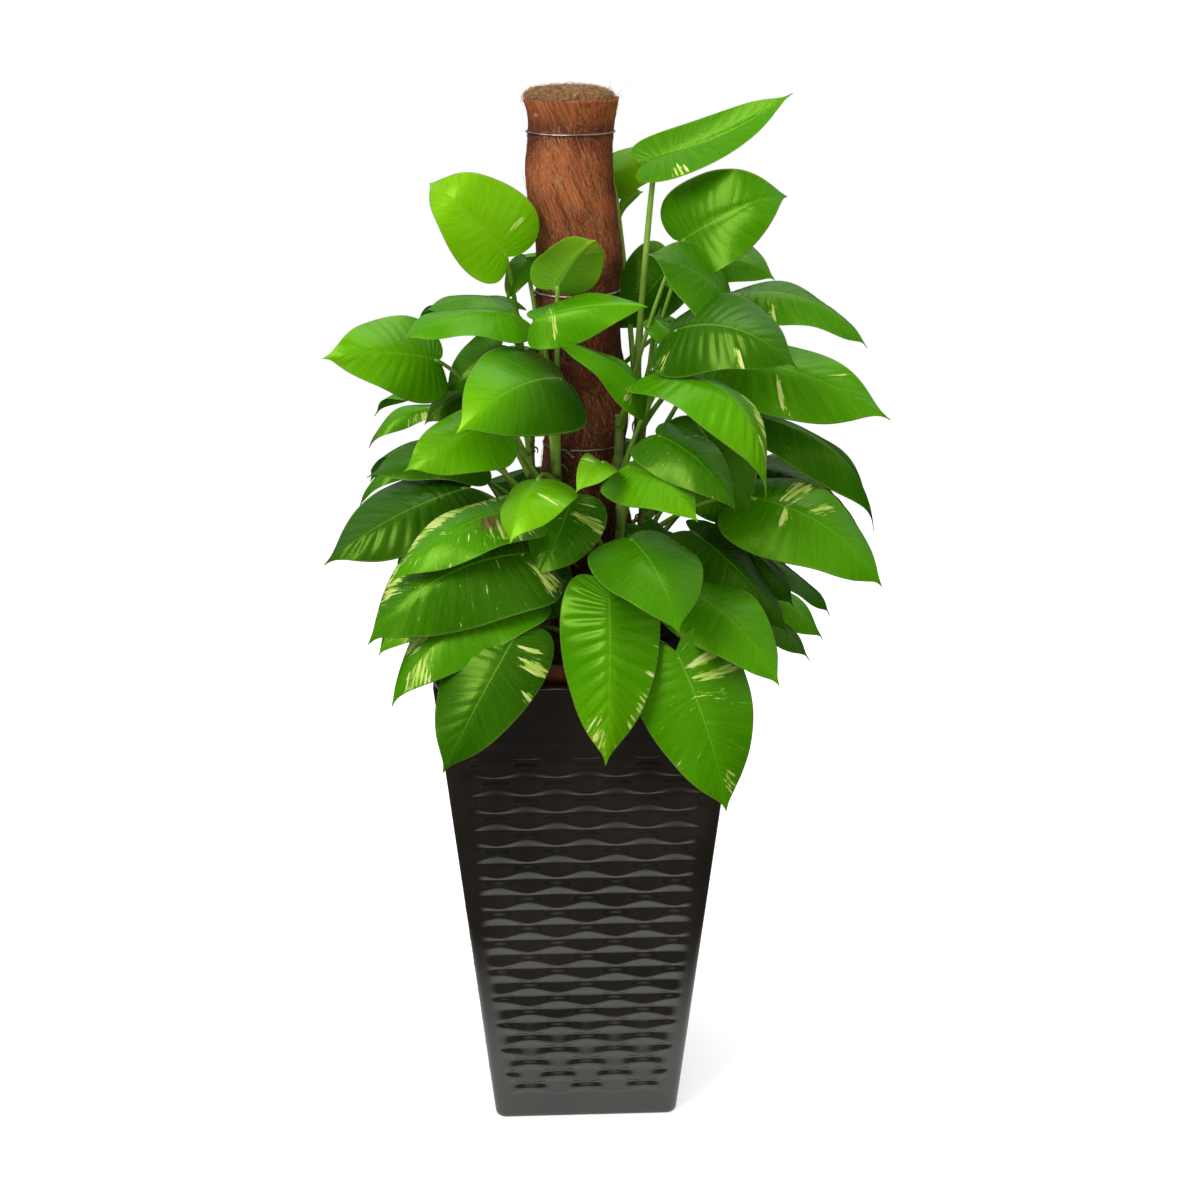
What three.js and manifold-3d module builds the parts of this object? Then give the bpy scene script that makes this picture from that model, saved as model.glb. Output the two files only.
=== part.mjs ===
// A potted pothos trained on a fibre-wrapped pole: a tall tapering glazed planter holds a nursery pot
// of potting mix, the pole stands in the mix, vines climb the pole, and each leaf grows from a vine on
// its own stalk. Millimetres, +Z up, the origin at the centre of the planter's foot.

import * as THREE from "three";
import { ParametricGeometry } from "three/addons/geometries/ParametricGeometry.js";
import { mergeVertices } from "three/addons/utils/BufferGeometryUtils.js";
import Module from "manifold-3d";

const gap = 0.4; // clearance left between pieces that touch

const planter = {
  height: 520,
  topSide: 300,
  footSide: 196,
  wall: 11,
  floor: 14,
  cornerShare: 0.075, // a corner's radius outside, as a share of the side there
  innerCornerShare: 0.015,
};
const nursery = {
  rimTop: 536,
  rimRadius: 132,
  rimBand: 24,
  rimLip: 3,
  floorTop: 256,
  wall: 3,
  drainRadius: 8,
};
const mix = { top: 506 };
const pole = { top: 1062, stakeRadius: 14, wrap: 4.5, leanDegrees: -2.43, soilX: 13 };
const tie = { wire: 1.1, heights: [1031, 880, 728, 576], neck: 40.5 };
const vineRadius = 5;
const stalkRadius = 2.2;
const bladeThickness = 1.8;
const bladeRows = 6; // faces from the notch to the tip
const bladeColumns = 4; // faces from one edge to the other

const up = new THREE.Vector3(0, 0, 1);
const wasm = await Module();
wasm.setup();

// ---- solids: geometry to manifold and back ----

function toSolid(geometry) {
  const bare = geometry.index ? geometry.toNonIndexed() : geometry.clone();
  for (const name of Object.keys(bare.attributes)) {
    if (name !== "position") bare.deleteAttribute(name);
  }
  const merged = mergeVertices(bare, 1e-3);
  const index = merged.index.array;
  const kept = [];
  for (let i = 0; i < index.length; i += 3) {
    const [a, b, c] = [index[i], index[i + 1], index[i + 2]];
    if (a !== b && b !== c && c !== a) kept.push(a, b, c);
  }
  const mesh = new wasm.Mesh({
    numProp: 3,
    vertProperties: new Float32Array(merged.attributes.position.array),
    triVerts: new Uint32Array(kept),
  });
  return new wasm.Manifold(mesh);
}

function toGeometry(solid) {
  const mesh = solid.getMesh();
  const points = new Float32Array(mesh.numVert * 3);
  for (let i = 0; i < mesh.numVert; i++) {
    points.set(mesh.vertProperties.subarray(i * mesh.numProp, i * mesh.numProp + 3), i * 3);
  }
  const geometry = new THREE.BufferGeometry();
  geometry.setAttribute("position", new THREE.BufferAttribute(points, 3));
  geometry.setIndex(new THREE.BufferAttribute(new Uint32Array(mesh.triVerts), 1));
  geometry.computeVertexNormals();
  return geometry;
}

function solidMesh(name, solid, material) {
  const mesh = new THREE.Mesh(toGeometry(solid), material);
  mesh.name = name;
  return mesh;
}

// A lathe profile of [radius, height] pairs, turned about Z.
function turned(profile, segments) {
  const points = profile.map(([radius, height]) => new THREE.Vector2(radius, height));
  return new THREE.LatheGeometry(points, segments).rotateX(Math.PI / 2);
}

// A round rod along a curve, closed at both ends.
function rod(curve, radius, sides, steps) {
  const section = new THREE.Shape();
  for (let i = 0; i < sides; i++) {
    const angle = (i / sides) * 2 * Math.PI;
    const [x, y] = [radius * Math.cos(angle), radius * Math.sin(angle)];
    if (i) section.lineTo(x, y);
    else section.moveTo(x, y);
  }
  section.closePath();
  return new THREE.ExtrudeGeometry(section, { steps, bevelEnabled: false, extrudePath: curve });
}

// ---- planter, nursery pot and potting mix ----

function planterSideAt(height) {
  return planter.footSide + (planter.topSide - planter.footSide) * (height / planter.height);
}

// A square column with round corners that tapers as the planter does, its faces set in by inset.
function taperedColumn(low, high, inset, corner) {
  const square = new THREE.Shape();
  square.moveTo(0.5 - corner, -0.5);
  square.absarc(0.5 - corner, -0.5 + corner, corner, -Math.PI / 2, 0, false);
  square.absarc(0.5 - corner, 0.5 - corner, corner, 0, Math.PI / 2, false);
  square.absarc(-0.5 + corner, 0.5 - corner, corner, Math.PI / 2, Math.PI, false);
  square.absarc(-0.5 + corner, -0.5 + corner, corner, Math.PI, 1.5 * Math.PI, false);
  const extrusion = { depth: 1, steps: 1, curveSegments: 3, bevelEnabled: false };
  const column = new THREE.ExtrudeGeometry(square, extrusion);
  const point = new THREE.Vector3();
  const places = column.attributes.position;
  for (let i = 0; i < places.count; i++) {
    point.fromBufferAttribute(places, i);
    const height = low + (high - low) * point.z;
    const side = planterSideAt(height) - 2 * inset;
    places.setXYZ(i, point.x * side, point.y * side, height);
  }
  return column;
}

function makePlanter(material) {
  const outside = toSolid(taperedColumn(0, planter.height, 0, planter.cornerShare));
  const cavity = taperedColumn(planter.floor, planter.height + 1, planter.wall, planter.innerCornerShare);
  const inside = toSolid(cavity);
  return solidMesh("planter", outside.subtract(inside), material);
}

// The nursery pot's foot radius is where the planter's sloping walls stop it.
const nurseryFoot = nursery.floorTop - nursery.wall;
const nurseryFootRadius = planterSideAt(nurseryFoot) / 2 - planter.wall - gap;

function nurseryOuterRadius(height) {
  const bandFoot = nursery.rimTop - nursery.rimBand;
  const share = (height - nurseryFoot) / (bandFoot - nurseryFoot);
  return nurseryFootRadius + (nursery.rimRadius - nursery.rimLip - nurseryFootRadius) * share;
}

function makeNurseryPot(material) {
  const { rimTop, rimRadius, rimBand, floorTop, wall, drainRadius } = nursery;
  const bandFoot = rimTop - rimBand;
  const shell = turned(
    [
      [0, nurseryFoot],
      [nurseryFootRadius, nurseryFoot],
      [nurseryOuterRadius(bandFoot), bandFoot],
      [rimRadius, bandFoot],
      [rimRadius, rimTop],
      [rimRadius - wall, rimTop],
      [nurseryOuterRadius(bandFoot) - wall, bandFoot],
      [nurseryOuterRadius(floorTop) - wall, floorTop],
      [0, floorTop],
    ],
    28,
  );
  let pot = toSolid(shell);
  const drainRing = nurseryFootRadius * 0.65;
  for (let i = 0; i < 4; i++) {
    const angle = ((i + 0.5) / 4) * 2 * Math.PI;
    const drain = new THREE.CylinderGeometry(drainRadius, drainRadius, wall * 6, 8).rotateX(Math.PI / 2);
    drain.translate(drainRing * Math.cos(angle), drainRing * Math.sin(angle), nurseryFoot);
    pot = pot.subtract(toSolid(drain));
  }
  return solidMesh("nursery_pot", pot, material);
}

function makePottingMix(material, cutters) {
  const foot = nursery.floorTop + gap;
  const body = turned(
    [
      [0, foot],
      [nurseryOuterRadius(foot) - nursery.wall - gap, foot],
      [nurseryOuterRadius(mix.top - 4) - nursery.wall - gap, mix.top - 4],
      [90, mix.top + 2],
      [0, mix.top + 2],
    ],
    28,
  );
  let solid = toSolid(body);
  for (const cutter of cutters) solid = solid.subtract(cutter);
  return solidMesh("potting_mix", solid, material);
}

// ---- the pole: a wooden stake in stuffed coir, wrapped in palm fibre and tied with wire ----

const poleFoot = nursery.floorTop + 6;
const poleHeight = pole.top - poleFoot;
const leanX = Math.tan(THREE.MathUtils.degToRad(pole.leanDegrees));

function poleCentreX(height) {
  return pole.soilX + (height - mix.top) * leanX;
}

// The wrap bulges between the wire ties and draws in to the neck at each one.
function wrapRadiusAt(height) {
  const nearest = Math.min(...tie.heights.map((tied) => Math.abs(height - tied)));
  const bulge = 4.2 * (1 - Math.exp(-((nearest / 28) ** 2)));
  const flare = 2.5 * Math.max(0, 1 - (pole.top - height) / 26);
  return tie.neck + bulge + flare;
}

function wrapHeights() {
  const heights = [poleFoot, mix.top - 20];
  const stations = [];
  for (const tied of tie.heights) stations.push(tied - 34, tied, tied + 34);
  stations.push(pole.top);
  return [...heights, ...stations.filter((height) => height <= pole.top)].sort((a, b) => a - b);
}

function makePole(materials) {
  const group = new THREE.Group();
  group.position.set(poleCentreX(poleFoot), 0, poleFoot);
  group.rotation.y = THREE.MathUtils.degToRad(pole.leanDegrees);

  const local = (height) => height - poleFoot;
  const outer = wrapHeights().map((height) => [wrapRadiusAt(height), local(height)]);
  const inner = wrapHeights().map((height) => [wrapRadiusAt(height) - pole.wrap, local(height)]);
  inner.reverse();
  const wrap = turned([...outer, ...inner, outer[0]], 24);
  group.add(solidMesh("palm_fibre_wrap", toSolid(wrap), materials.fibre));

  const stuffing = inner.map(([radius, height]) => [radius - gap, height]).reverse();
  const stakeTop = poleHeight - 30;
  const domeTop = poleHeight + 6;
  const filling = turned(
    [
      [pole.stakeRadius + gap, 0],
      ...stuffing,
      [20, domeTop],
      [0, domeTop],
      [0, stakeTop + gap],
      [pole.stakeRadius + gap, stakeTop + gap],
      [pole.stakeRadius + gap, 0],
    ],
    24,
  );
  group.add(solidMesh("coir_filling", toSolid(filling), materials.coir));

  const stake = turned([[0, 0], [pole.stakeRadius, 0], [pole.stakeRadius, stakeTop], [0, stakeTop]], 16);
  group.add(solidMesh("support_stake", toSolid(stake), materials.wood));

  tie.heights.forEach((height, i) => {
    const middle = tie.neck + gap + tie.wire;
    const ring = [];
    for (let k = 0; k <= 5; k++) {
      const angle = (k / 5) * 2 * Math.PI;
      ring.push([middle + tie.wire * Math.cos(angle), local(height) + tie.wire * Math.sin(angle)]);
    }
    group.add(solidMesh(`wire_tie_${i + 1}`, toSolid(turned(ring, 24)), materials.wire));
  });
  group.updateMatrixWorld(true);
  return group;
}

// The hole that the pole makes in the potting mix.
function poleCutter() {
  const widest = wrapRadiusAt(mix.top) + gap;
  const plug = new THREE.CylinderGeometry(widest, widest, 320, 24).rotateX(Math.PI / 2);
  plug.translate(0, 0, 160);
  plug.rotateY(THREE.MathUtils.degToRad(pole.leanDegrees));
  plug.translate(poleCentreX(poleFoot), 0, poleFoot - 1);
  return toSolid(plug);
}

// ---- vines: rooted in the mix, climbing close against the wrap ----

const vineRows = {
  front_left: { heading: -118, top: 735, sway: 5 },
  front_right: { heading: -58, top: 765, sway: -5 },
  right: { heading: 8, top: 800, sway: 4 },
  back: { heading: 95, top: 780, sway: -4 },
  left: { heading: 178, top: 770, sway: 5 },
};
const vineRoot = 450;
const vineStandOff = 47 + vineRadius + 1.5; // from the pole's centre line to a vine's

function vinePoint(vine, height) {
  const share = (height - vineRoot) / (vine.top - vineRoot);
  const heading = THREE.MathUtils.degToRad(vine.heading + vine.sway * Math.sin(share * 5));
  const splay = 8 * (1 - share);
  const reach = vineStandOff + splay;
  return new THREE.Vector3(
    poleCentreX(height) + reach * Math.cos(heading),
    reach * Math.sin(heading),
    height,
  );
}

function vineCurve(vine) {
  const points = [];
  for (let i = 0; i <= 6; i++) points.push(vinePoint(vine, vineRoot + ((vine.top - vineRoot) * i) / 6));
  return new THREE.CatmullRomCurve3(points);
}

// ---- leaves: a heart-shaped blade with a drip tip, on a stalk ----

// Half of the blade's outline from the notch round the lobe to the tip, as shares of the length:
// [along the midrib, out from the midrib, where its side vein leaves the midrib].
const outline = [
  [0.0, 0.0, 0.0],
  [-0.085, 0.1, 0.01],
  [-0.09, 0.225, 0.03],
  [0.02, 0.325, 0.08],
  [0.2, 0.355, 0.17],
  [0.42, 0.31, 0.31],
  [0.65, 0.2, 0.5],
  [0.85, 0.075, 0.74],
  [1.0, 0.0, 1.0],
];
const outlineCurve = new THREE.CatmullRomCurve3(outline.map((point) => new THREE.Vector3(...point)));

// A point of the blade in its own axes, for a blade one unit long: along, across and up.
function bladeShape(leaf, station, across) {
  const rim = outlineCurve.getPoint(station);
  const away = Math.abs(across);
  const along = THREE.MathUtils.lerp(rim.z, rim.x, away);
  const out = rim.y * away * leaf.wide;
  const folded = out * Math.tan(THREE.MathUtils.degToRad(leaf.fold));
  const rolledEdge = -0.35 * out * out;
  const arched = 4 * leaf.arch * along * (1 - along);
  const droop = -leaf.arch * Math.max(0, along - 0.75) ** 2;
  return new THREE.Vector3(along, Math.sign(across) * out, folded + rolledEdge + arched + droop);
}

function bladeAxes(leaf) {
  const base = new THREE.Vector3(...leaf.base);
  const along = new THREE.Vector3(...leaf.tip).sub(base);
  const length = along.length();
  along.normalize();
  const face = new THREE.Vector3(...leaf.face).projectOnPlane(along).normalize();
  const side = new THREE.Vector3().crossVectors(face, along);
  return new THREE.Matrix4()
    .makeBasis(along.multiplyScalar(length), side.multiplyScalar(length), face.multiplyScalar(length))
    .setPosition(base);
}

// The blade is a closed skin. Its two faces are split along the same diagonals, so it is as thick between
// their corners as at them.
function bladeGeometry(leaf) {
  const axes = bladeAxes(leaf);
  const length = axes.getMaxScaleOnAxis();
  const corner = (i, j, up) => {
    const station = i / bladeRows;
    const across = (2 * j) / bladeColumns - 1;
    const point = bladeShape(leaf, station, across);
    point.z += (up * 0.5 * bladeThickness * (1 - Math.abs(across)) * Math.sin(Math.PI * station)) / length;
    return point.applyMatrix4(axes);
  };
  const points = [];
  for (let i = 0; i < bladeRows; i++) {
    for (let j = 0; j < bladeColumns; j++) {
      for (const up of [1, -1]) {
        const [a, b] = [corner(i, j, up), corner(i + 1, j, up)];
        const [c, d] = [corner(i + 1, j + 1, up), corner(i, j + 1, up)];
        points.push(...(up > 0 ? [a, b, c, a, c, d] : [a, c, b, a, d, c]));
      }
    }
  }
  return new THREE.BufferGeometry().setFromPoints(points);
}

function stalkCurve(leaf) {
  const end = new THREE.Vector3(0.05, 0, 0.19 * leaf.arch).applyMatrix4(bladeAxes(leaf));
  const root = vinePoint(vineRows[leaf.vine], leaf.at);
  const outward = end.clone().sub(root).setZ(0).normalize();
  const start = root.addScaledVector(outward, vineRadius + stalkRadius + 1);
  const run = end.clone().sub(start);
  const rise = up.clone().multiplyScalar(0.14 * run.length());
  return new THREE.CubicBezierCurve3(
    start,
    start.clone().addScaledVector(run, 0.3).add(rise),
    start.clone().addScaledVector(run, 0.75).add(rise),
    end,
  );
}

function makeLeaf(name, leaf, material) {
  const blade = toSolid(bladeGeometry(leaf));
  const stalk = toSolid(rod(stalkCurve(leaf), stalkRadius, 5, 4));
  return solidMesh(name, blade.add(stalk), material);
}

// Each leaf: the vine it grows from and the height where it leaves it, the ends of its midrib, the way
// its upper face looks, its width against its length, its fold along the midrib in degrees (below zero
// the halves hang), and its arch as a share of its length.
const leafRows = [
  ["right", 785, [67, -40, 1007], [190, -75, 1070], [-1, 0.3, 2], 0.9, 48, 0.03],
  ["front_right", 750, [93, -42, 928], [182, -65, 990], [-0.2, -1, 0.4], 1.15, 12, 0.12],
  ["left", 760, [-58, -60, 920], [-140, -95, 965], [0, -0.8, 0.7], 1.25, 10, 0.08],
  ["front_left", 730, [-26, -73, 895], [8, -118, 942], [-0.3, 1, 0.3], 1.25, 22, 0.1],
  ["front_left", 718, [-48, -114, 869], [62, -124, 881], [0, -0.75, 1], 1.0, -22, 0.06],
  ["right", 770, [134, -62, 876], [57, -104, 926], [0.2, 0.6, 1], 1.15, -8, 0.1],
  ["right", 755, [97, -5, 905], [178, -40, 884], [0, -0.6, 1], 1.0, -8, 0.14],
  ["back", 740, [150, 15, 872], [286, -5, 822], [0.2, -0.5, 1], 0.7, -12, 0.1],
  ["right", 720, [68, -115, 848], [183, -175, 822], [0, -0.8, 0.8], 1.0, -12, 0.14],
  ["right", 736, [118, -46, 818], [292, -97, 770], [0.1, -0.8, 0.8], 0.75, -12, 0.12],
  ["right", 700, [140, -15, 762], [306, -55, 652], [0.3, -0.5, 1], 0.62, -25, 0.12],
  ["front_right", 700, [66, -120, 810], [158, -190, 722], [0.5, -0.6, 0.8], 0.8, -16, 0.24],
  ["right", 680, [104, -60, 760], [150, -112, 686], [0, -1, 0.4], 0.95, -8, 0.08],
  ["front_right", 650, [65, -132, 764], [134, -182, 708], [0.3, -0.9, 0.6], 0.85, -12, 0.12],
  ["front_right", 620, [32, -125, 730], [88, -198, 700], [-0.1, -0.5, 1], 0.95, 14, 0.1],
  ["front_right", 680, [12, -130, 741], [-16, -198, 728], [0.2, -0.4, 1], 0.75, 12, 0.12],
  ["front_left", 688, [-14, -145, 719], [-50, -222, 695], [-0.4, -0.4, 1], 1.2, -14, 0.12],
  ["front_right", 590, [-2, -95, 694], [-38, -135, 630], [-0.3, -1, 0.3], 1.15, 6, 0.06],
  ["front_left", 705, [-6, -121, 809], [-110, -192, 783], [-0.2, -0.7, 0.8], 1.0, -8, 0.12],
  ["front_right", 755, [50, -84, 799], [-34, -108, 856], [0.1, -0.5, 0.9], 0.65, 16, 0.1],
  ["left", 690, [-128, -55, 811], [-240, -105, 832], [0, -0.9, 0.7], 1.0, -6, 0.1],
  ["left", 735, [-65, 5, 862], [-155, 25, 856], [0, -0.3, 1], 0.8, -8, 0.15],
  ["left", 725, [-62, -72, 868], [-172, -118, 853], [0, -0.25, 1], 0.75, 12, 0.1],
  ["front_left", 660, [-80, -95, 768], [-168, -140, 735], [-0.2, -0.9, 0.7], 0.95, -8, 0.08],
  ["left", 665, [-105, -20, 716], [-210, -55, 708], [0, -0.5, 1], 0.8, 8, 0.12],
  ["left", 630, [-112, -55, 694], [-250, -110, 636], [-0.4, -0.7, 0.9], 0.85, -12, 0.12],
  ["front_left", 590, [-62, -112, 688], [-184, -158, 634], [-0.2, -0.4, 1], 0.75, 12, 0.16],
  ["front_left", 570, [-58, -128, 644], [-208, -166, 576], [-0.3, -0.8, 0.8], 0.8, -10, 0.1],
  ["left", 560, [-66, -135, 614], [-186, -170, 512], [-0.5, -0.7, 0.7], 0.7, -10, 0.1],
  ["front_left", 535, [-72, -165, 578], [-137, -207, 460], [-0.2, -1, 0.3], 1.05, -7, 0.08],
  ["front_left", 555, [10, -172, 626], [12, -212, 468], [0, -1, 0.3], 0.98, -6, 0.07],
  ["front_right", 530, [74, -170, 556], [128, -203, 411], [0.2, -1, 0.3], 1.08, -7, 0.07],
  ["front_right", 560, [40, -152, 660], [78, -242, 600], [0.1, -0.7, 0.9], 1.25, -8, 0.1],
  ["right", 540, [97, -112, 607], [181, -190, 535], [0.3, -0.9, 0.6], 0.85, -8, 0.09],
  ["right", 622, [152, -72, 682], [277, -120, 606], [0.2, -0.8, 0.8], 0.85, -8, 0.1],
  ["right", 645, [160, -14, 701], [290, -34, 612], [0.45, -0.4, 1], 0.82, -13, 0.125],
  ["right", 575, [108, -52, 646], [202, -100, 553], [0.4, -0.7, 0.6], 0.7, -10, 0.08],
  ["back", 560, [180, 5, 606], [261, 0, 538], [0.6, -0.4, 1], 0.75, -10, 0.1],
  ["right", 520, [134, -40, 580], [232, -58, 510], [0.4, -0.4, 1], 0.7, -8, 0.08],
  ["back", 720, [50, 120, 835], [105, 215, 800], [0.2, 0.6, 1], 1.0, -10, 0.12],
  ["back", 680, [-50, 125, 800], [-105, 215, 745], [-0.2, 0.7, 1], 1.05, -10, 0.12],
  ["left", 600, [-130, 70, 715], [-225, 130, 655], [-0.4, 0.5, 1], 0.95, -10, 0.12],
  ["back", 620, [25, 145, 700], [40, 255, 630], [0, 0.8, 1], 1.1, -8, 0.1],
  ["back", 570, [125, 110, 655], [205, 190, 580], [0.5, 0.5, 1], 1.0, -10, 0.1],
  ["back", 530, [-75, 165, 590], [-115, 215, 465], [-0.2, 1, 0.3], 1.1, -6, 0.08],
].map(([vine, at, base, tip, face, wide, fold, arch]) => ({ vine, at, base, tip, face, wide, fold, arch }));

// ---- assembly ----

const glaze = new THREE.MeshStandardMaterial({ color: 0x15130f, roughness: 0.16, metalness: 0 });
const terracotta = new THREE.MeshStandardMaterial({ color: 0x7c3a26, roughness: 0.6, metalness: 0 });
const peat = new THREE.MeshStandardMaterial({ color: 0x2a1c14, roughness: 0.95, metalness: 0 });
const fibre = new THREE.MeshStandardMaterial({ color: 0x7a3d24, roughness: 0.85, metalness: 0 });
const coir = new THREE.MeshStandardMaterial({ color: 0x8a5a34, roughness: 0.95, metalness: 0 });
const wood = new THREE.MeshStandardMaterial({ color: 0x9c7a52, roughness: 0.8, metalness: 0 });
const wire = new THREE.MeshStandardMaterial({ color: 0xb9aca0, roughness: 0.35, metalness: 0.9 });
const vineGreen = new THREE.MeshStandardMaterial({ color: 0x6f8f36, roughness: 0.5, metalness: 0 });
const leafGreen = new THREE.MeshStandardMaterial({ color: 0x3c8a14, roughness: 0.35, metalness: 0 });

const plant = new THREE.Group();
plant.add(makePlanter(glaze));
plant.add(makeNurseryPot(terracotta));
plant.add(makePole({ fibre, coir, wood, wire }));

const vineCutters = [];
for (const [name, vine] of Object.entries(vineRows)) {
  const curve = vineCurve(vine);
  plant.add(solidMesh(`vine_${name}`, toSolid(rod(curve, vineRadius, 8, 12)), vineGreen));
  vineCutters.push(toSolid(rod(curve, vineRadius + gap, 8, 12)));
}
plant.add(makePottingMix(peat, [poleCutter(), ...vineCutters]));

leafRows.forEach((leaf, i) => {
  plant.add(makeLeaf(`leaf_${String(i + 1).padStart(2, "0")}`, leaf, leafGreen));
});

export default plant;
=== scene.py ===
import math
import random

import bpy
import numpy as np
from mathutils import Matrix, Vector, noise


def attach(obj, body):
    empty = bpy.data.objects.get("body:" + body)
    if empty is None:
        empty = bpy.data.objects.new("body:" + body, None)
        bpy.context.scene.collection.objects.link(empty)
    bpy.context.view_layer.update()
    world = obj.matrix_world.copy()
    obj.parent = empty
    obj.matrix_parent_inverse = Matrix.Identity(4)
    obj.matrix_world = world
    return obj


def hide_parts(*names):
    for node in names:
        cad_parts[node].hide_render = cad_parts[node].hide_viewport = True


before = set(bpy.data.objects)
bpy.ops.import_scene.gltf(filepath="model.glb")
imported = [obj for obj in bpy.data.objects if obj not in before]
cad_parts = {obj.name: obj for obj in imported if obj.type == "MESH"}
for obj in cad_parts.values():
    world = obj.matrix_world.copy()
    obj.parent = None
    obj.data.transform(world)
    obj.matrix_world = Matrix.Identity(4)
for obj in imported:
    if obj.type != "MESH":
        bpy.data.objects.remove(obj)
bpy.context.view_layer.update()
scene = bpy.context.scene
mm = 0.001


def addNode(tree, kind, values=None, **settings):
    made = tree.nodes.new(kind)
    for name, value in settings.items():
        setattr(made, name, value)
    for key, value in (values or {}).items():
        if isinstance(value, bpy.types.NodeSocket):
            tree.links.new(value, made.inputs[key])
        else:
            made.inputs[key].default_value = value
    return made


def mathNode(tree, operation, *values, clamp=False):
    return addNode(tree, "ShaderNodeMath", dict(enumerate(values)), operation=operation, use_clamp=clamp).outputs[0]


def remap(tree, value, low, high, toLow=0.0, toHigh=1.0):
    made = addNode(tree, "ShaderNodeMapRange", {0: value, 1: low, 2: high, 3: toLow, 4: toHigh})
    made.interpolation_type = "SMOOTHSTEP"
    return made.outputs[0]


def mixColour(tree, share, first, second, way="MIX"):
    made = addNode(tree, "ShaderNodeMix", {0: share, 6: first, 7: second}, data_type="RGBA", blend_type=way)
    return made.outputs[2]


def rampNode(tree, value, stops):
    made = addNode(tree, "ShaderNodeValToRGB", {0: value})
    band = made.color_ramp.elements
    while len(band) < len(stops):
        band.new(0.5)
    for element, (place, colour) in zip(band, stops):
        element.position = place
        element.color = (*colour, 1)
    return made.outputs[0]


def newGroup(name, inputs, outputs):
    tree = bpy.data.node_groups.new(name, "ShaderNodeTree")
    for label, kind, value in inputs:
        socket = tree.interface.new_socket(name=label, in_out="INPUT", socket_type=kind)
        if value is not None:
            socket.default_value = value
    for label, kind in outputs:
        tree.interface.new_socket(name=label, in_out="OUTPUT", socket_type=kind)
    return tree, tree.nodes.new("NodeGroupInput"), tree.nodes.new("NodeGroupOutput")


def useGroup(tree, group, values):
    made = tree.nodes.new("ShaderNodeGroup")
    made.node_tree = group
    for key, value in values.items():
        if isinstance(value, bpy.types.NodeSocket):
            tree.links.new(value, made.inputs[key])
        else:
            made.inputs[key].default_value = value
    return made.outputs


def newMaterial(name, roughness=0.5, metallic=0.0, **sockets):
    material = bpy.data.materials.new(name)
    material.use_nodes = True
    tree = material.node_tree
    shader = tree.nodes["Principled BSDF"]
    shader.inputs["Roughness"].default_value = roughness
    shader.inputs["Metallic"].default_value = metallic
    for label, value in sockets.items():
        shader.inputs[label.replace("_", " ")].default_value = value
    return material, tree, shader.inputs


def bumpInto(tree, shader, height, distance, strength):
    made = addNode(tree, "ShaderNodeBump", {"Height": height, "Distance": distance, "Strength": strength})
    tree.links.new(made.outputs[0], shader["Normal"])


def paint(tree, shader, colour, roughness):
    tree.links.new(colour, shader["Base Color"])
    tree.links.new(roughness, shader["Roughness"])


def objectPlace(tree):
    return addNode(tree, "ShaderNodeTexCoord").outputs["Object"]


def smoothMesh(name, points, faces):
    data = bpy.data.meshes.new(name)
    data.from_pydata([tuple(p) for p in points], [], faces)
    data.polygons.foreach_set("use_smooth", [True] * len(data.polygons))
    return data


def makePiece(name, points, faces, materials, faceMaterials=None, replaced=()):
    data = smoothMesh(name, points, faces)
    for material in materials:
        data.materials.append(material)
    if faceMaterials is not None:
        data.polygons.foreach_set("material_index", faceMaterials)
    data.update()
    piece = bpy.data.objects.new(name, data)
    scene.collection.objects.link(piece)
    placePiece(piece, replaced)
    return piece


def placePiece(piece, replaced=()):
    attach(piece, "root")
    if replaced:
        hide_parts(*replaced)


def gridFaces(rows, columns, closed=False, start=0, flip=False):
    faces = []
    for i in range(rows - 1):
        for j in range(columns if closed else columns - 1):
            k = (j + 1) % columns
            quad = (start + i * columns + j, start + i * columns + k,
                    start + (i + 1) * columns + k, start + (i + 1) * columns + j)
            faces.append(quad[::-1] if flip else quad)
    return faces


# triangles from a ring of points to one point
def fanFaces(start, sides, centre, flip=False):
    fan = [(start + i, start + (i + 1) % sides, centre) for i in range(sides)]
    return [(b, a, c) for a, b, c in fan] if flip else fan


def turns(sides):
    return [2 * math.pi * i / sides for i in range(sides)]


def toMetres(points):
    return [(x * mm, y * mm, z * mm) for x, y, z in points]


def lerp(a, b, share):
    return a + (b - a) * share


def smoothStep(low, high, value):
    share = np.clip((value - low) / (high - low), 0, 1)
    return share * share * (3 - 2 * share)


studio = {
    "lens": 54.0, "place": (-0.0582, -1.768, 1.161), "tilt": 18.8, "turn": -2.5,
    "keyPower": 46.0, "fillPower": 13.0, "topPower": 12.0, "lowPower": 9.0, "sky": (0.9, 0.92, 0.94),
    "ground": (0.03, 0.026, 0.022), "skyStrength": 0.6, "horizon": (0.06, 0.56), "floorRadius": 2.6, "floorSides": 96,
    "floorFade": (0.2, 0.44), "floorNear": (0.5, 0.52, 0.49, 1), "floorFar": (0.03, 0.025, 0.02, 1),
    "floorGlow": (0.3, 0.5),
}


def makeCamera():
    data = bpy.data.cameras.new("plantCamera")
    data.lens = studio["lens"]
    data.sensor_width = 36.0
    camera = bpy.data.objects.new("plantCamera", data)
    camera.location = studio["place"]
    camera.rotation_euler = (math.radians(90 - studio["tilt"]), 0, math.radians(studio["turn"]))
    scene.collection.objects.link(camera)
    scene.camera = camera


def areaLight(name, place, target, width, height, power, mirrored=True):
    data = bpy.data.lights.new(name, "AREA")
    data.shape = "RECTANGLE"
    data.size = width
    data.size_y = height
    data.energy = power
    lamp = bpy.data.objects.new(name, data)
    lamp.location = place
    lamp.rotation_euler = (Vector(target) - Vector(place)).to_track_quat("-Z", "Y").to_euler()
    lamp.visible_glossy = mirrored
    scene.collection.objects.link(lamp)


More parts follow.
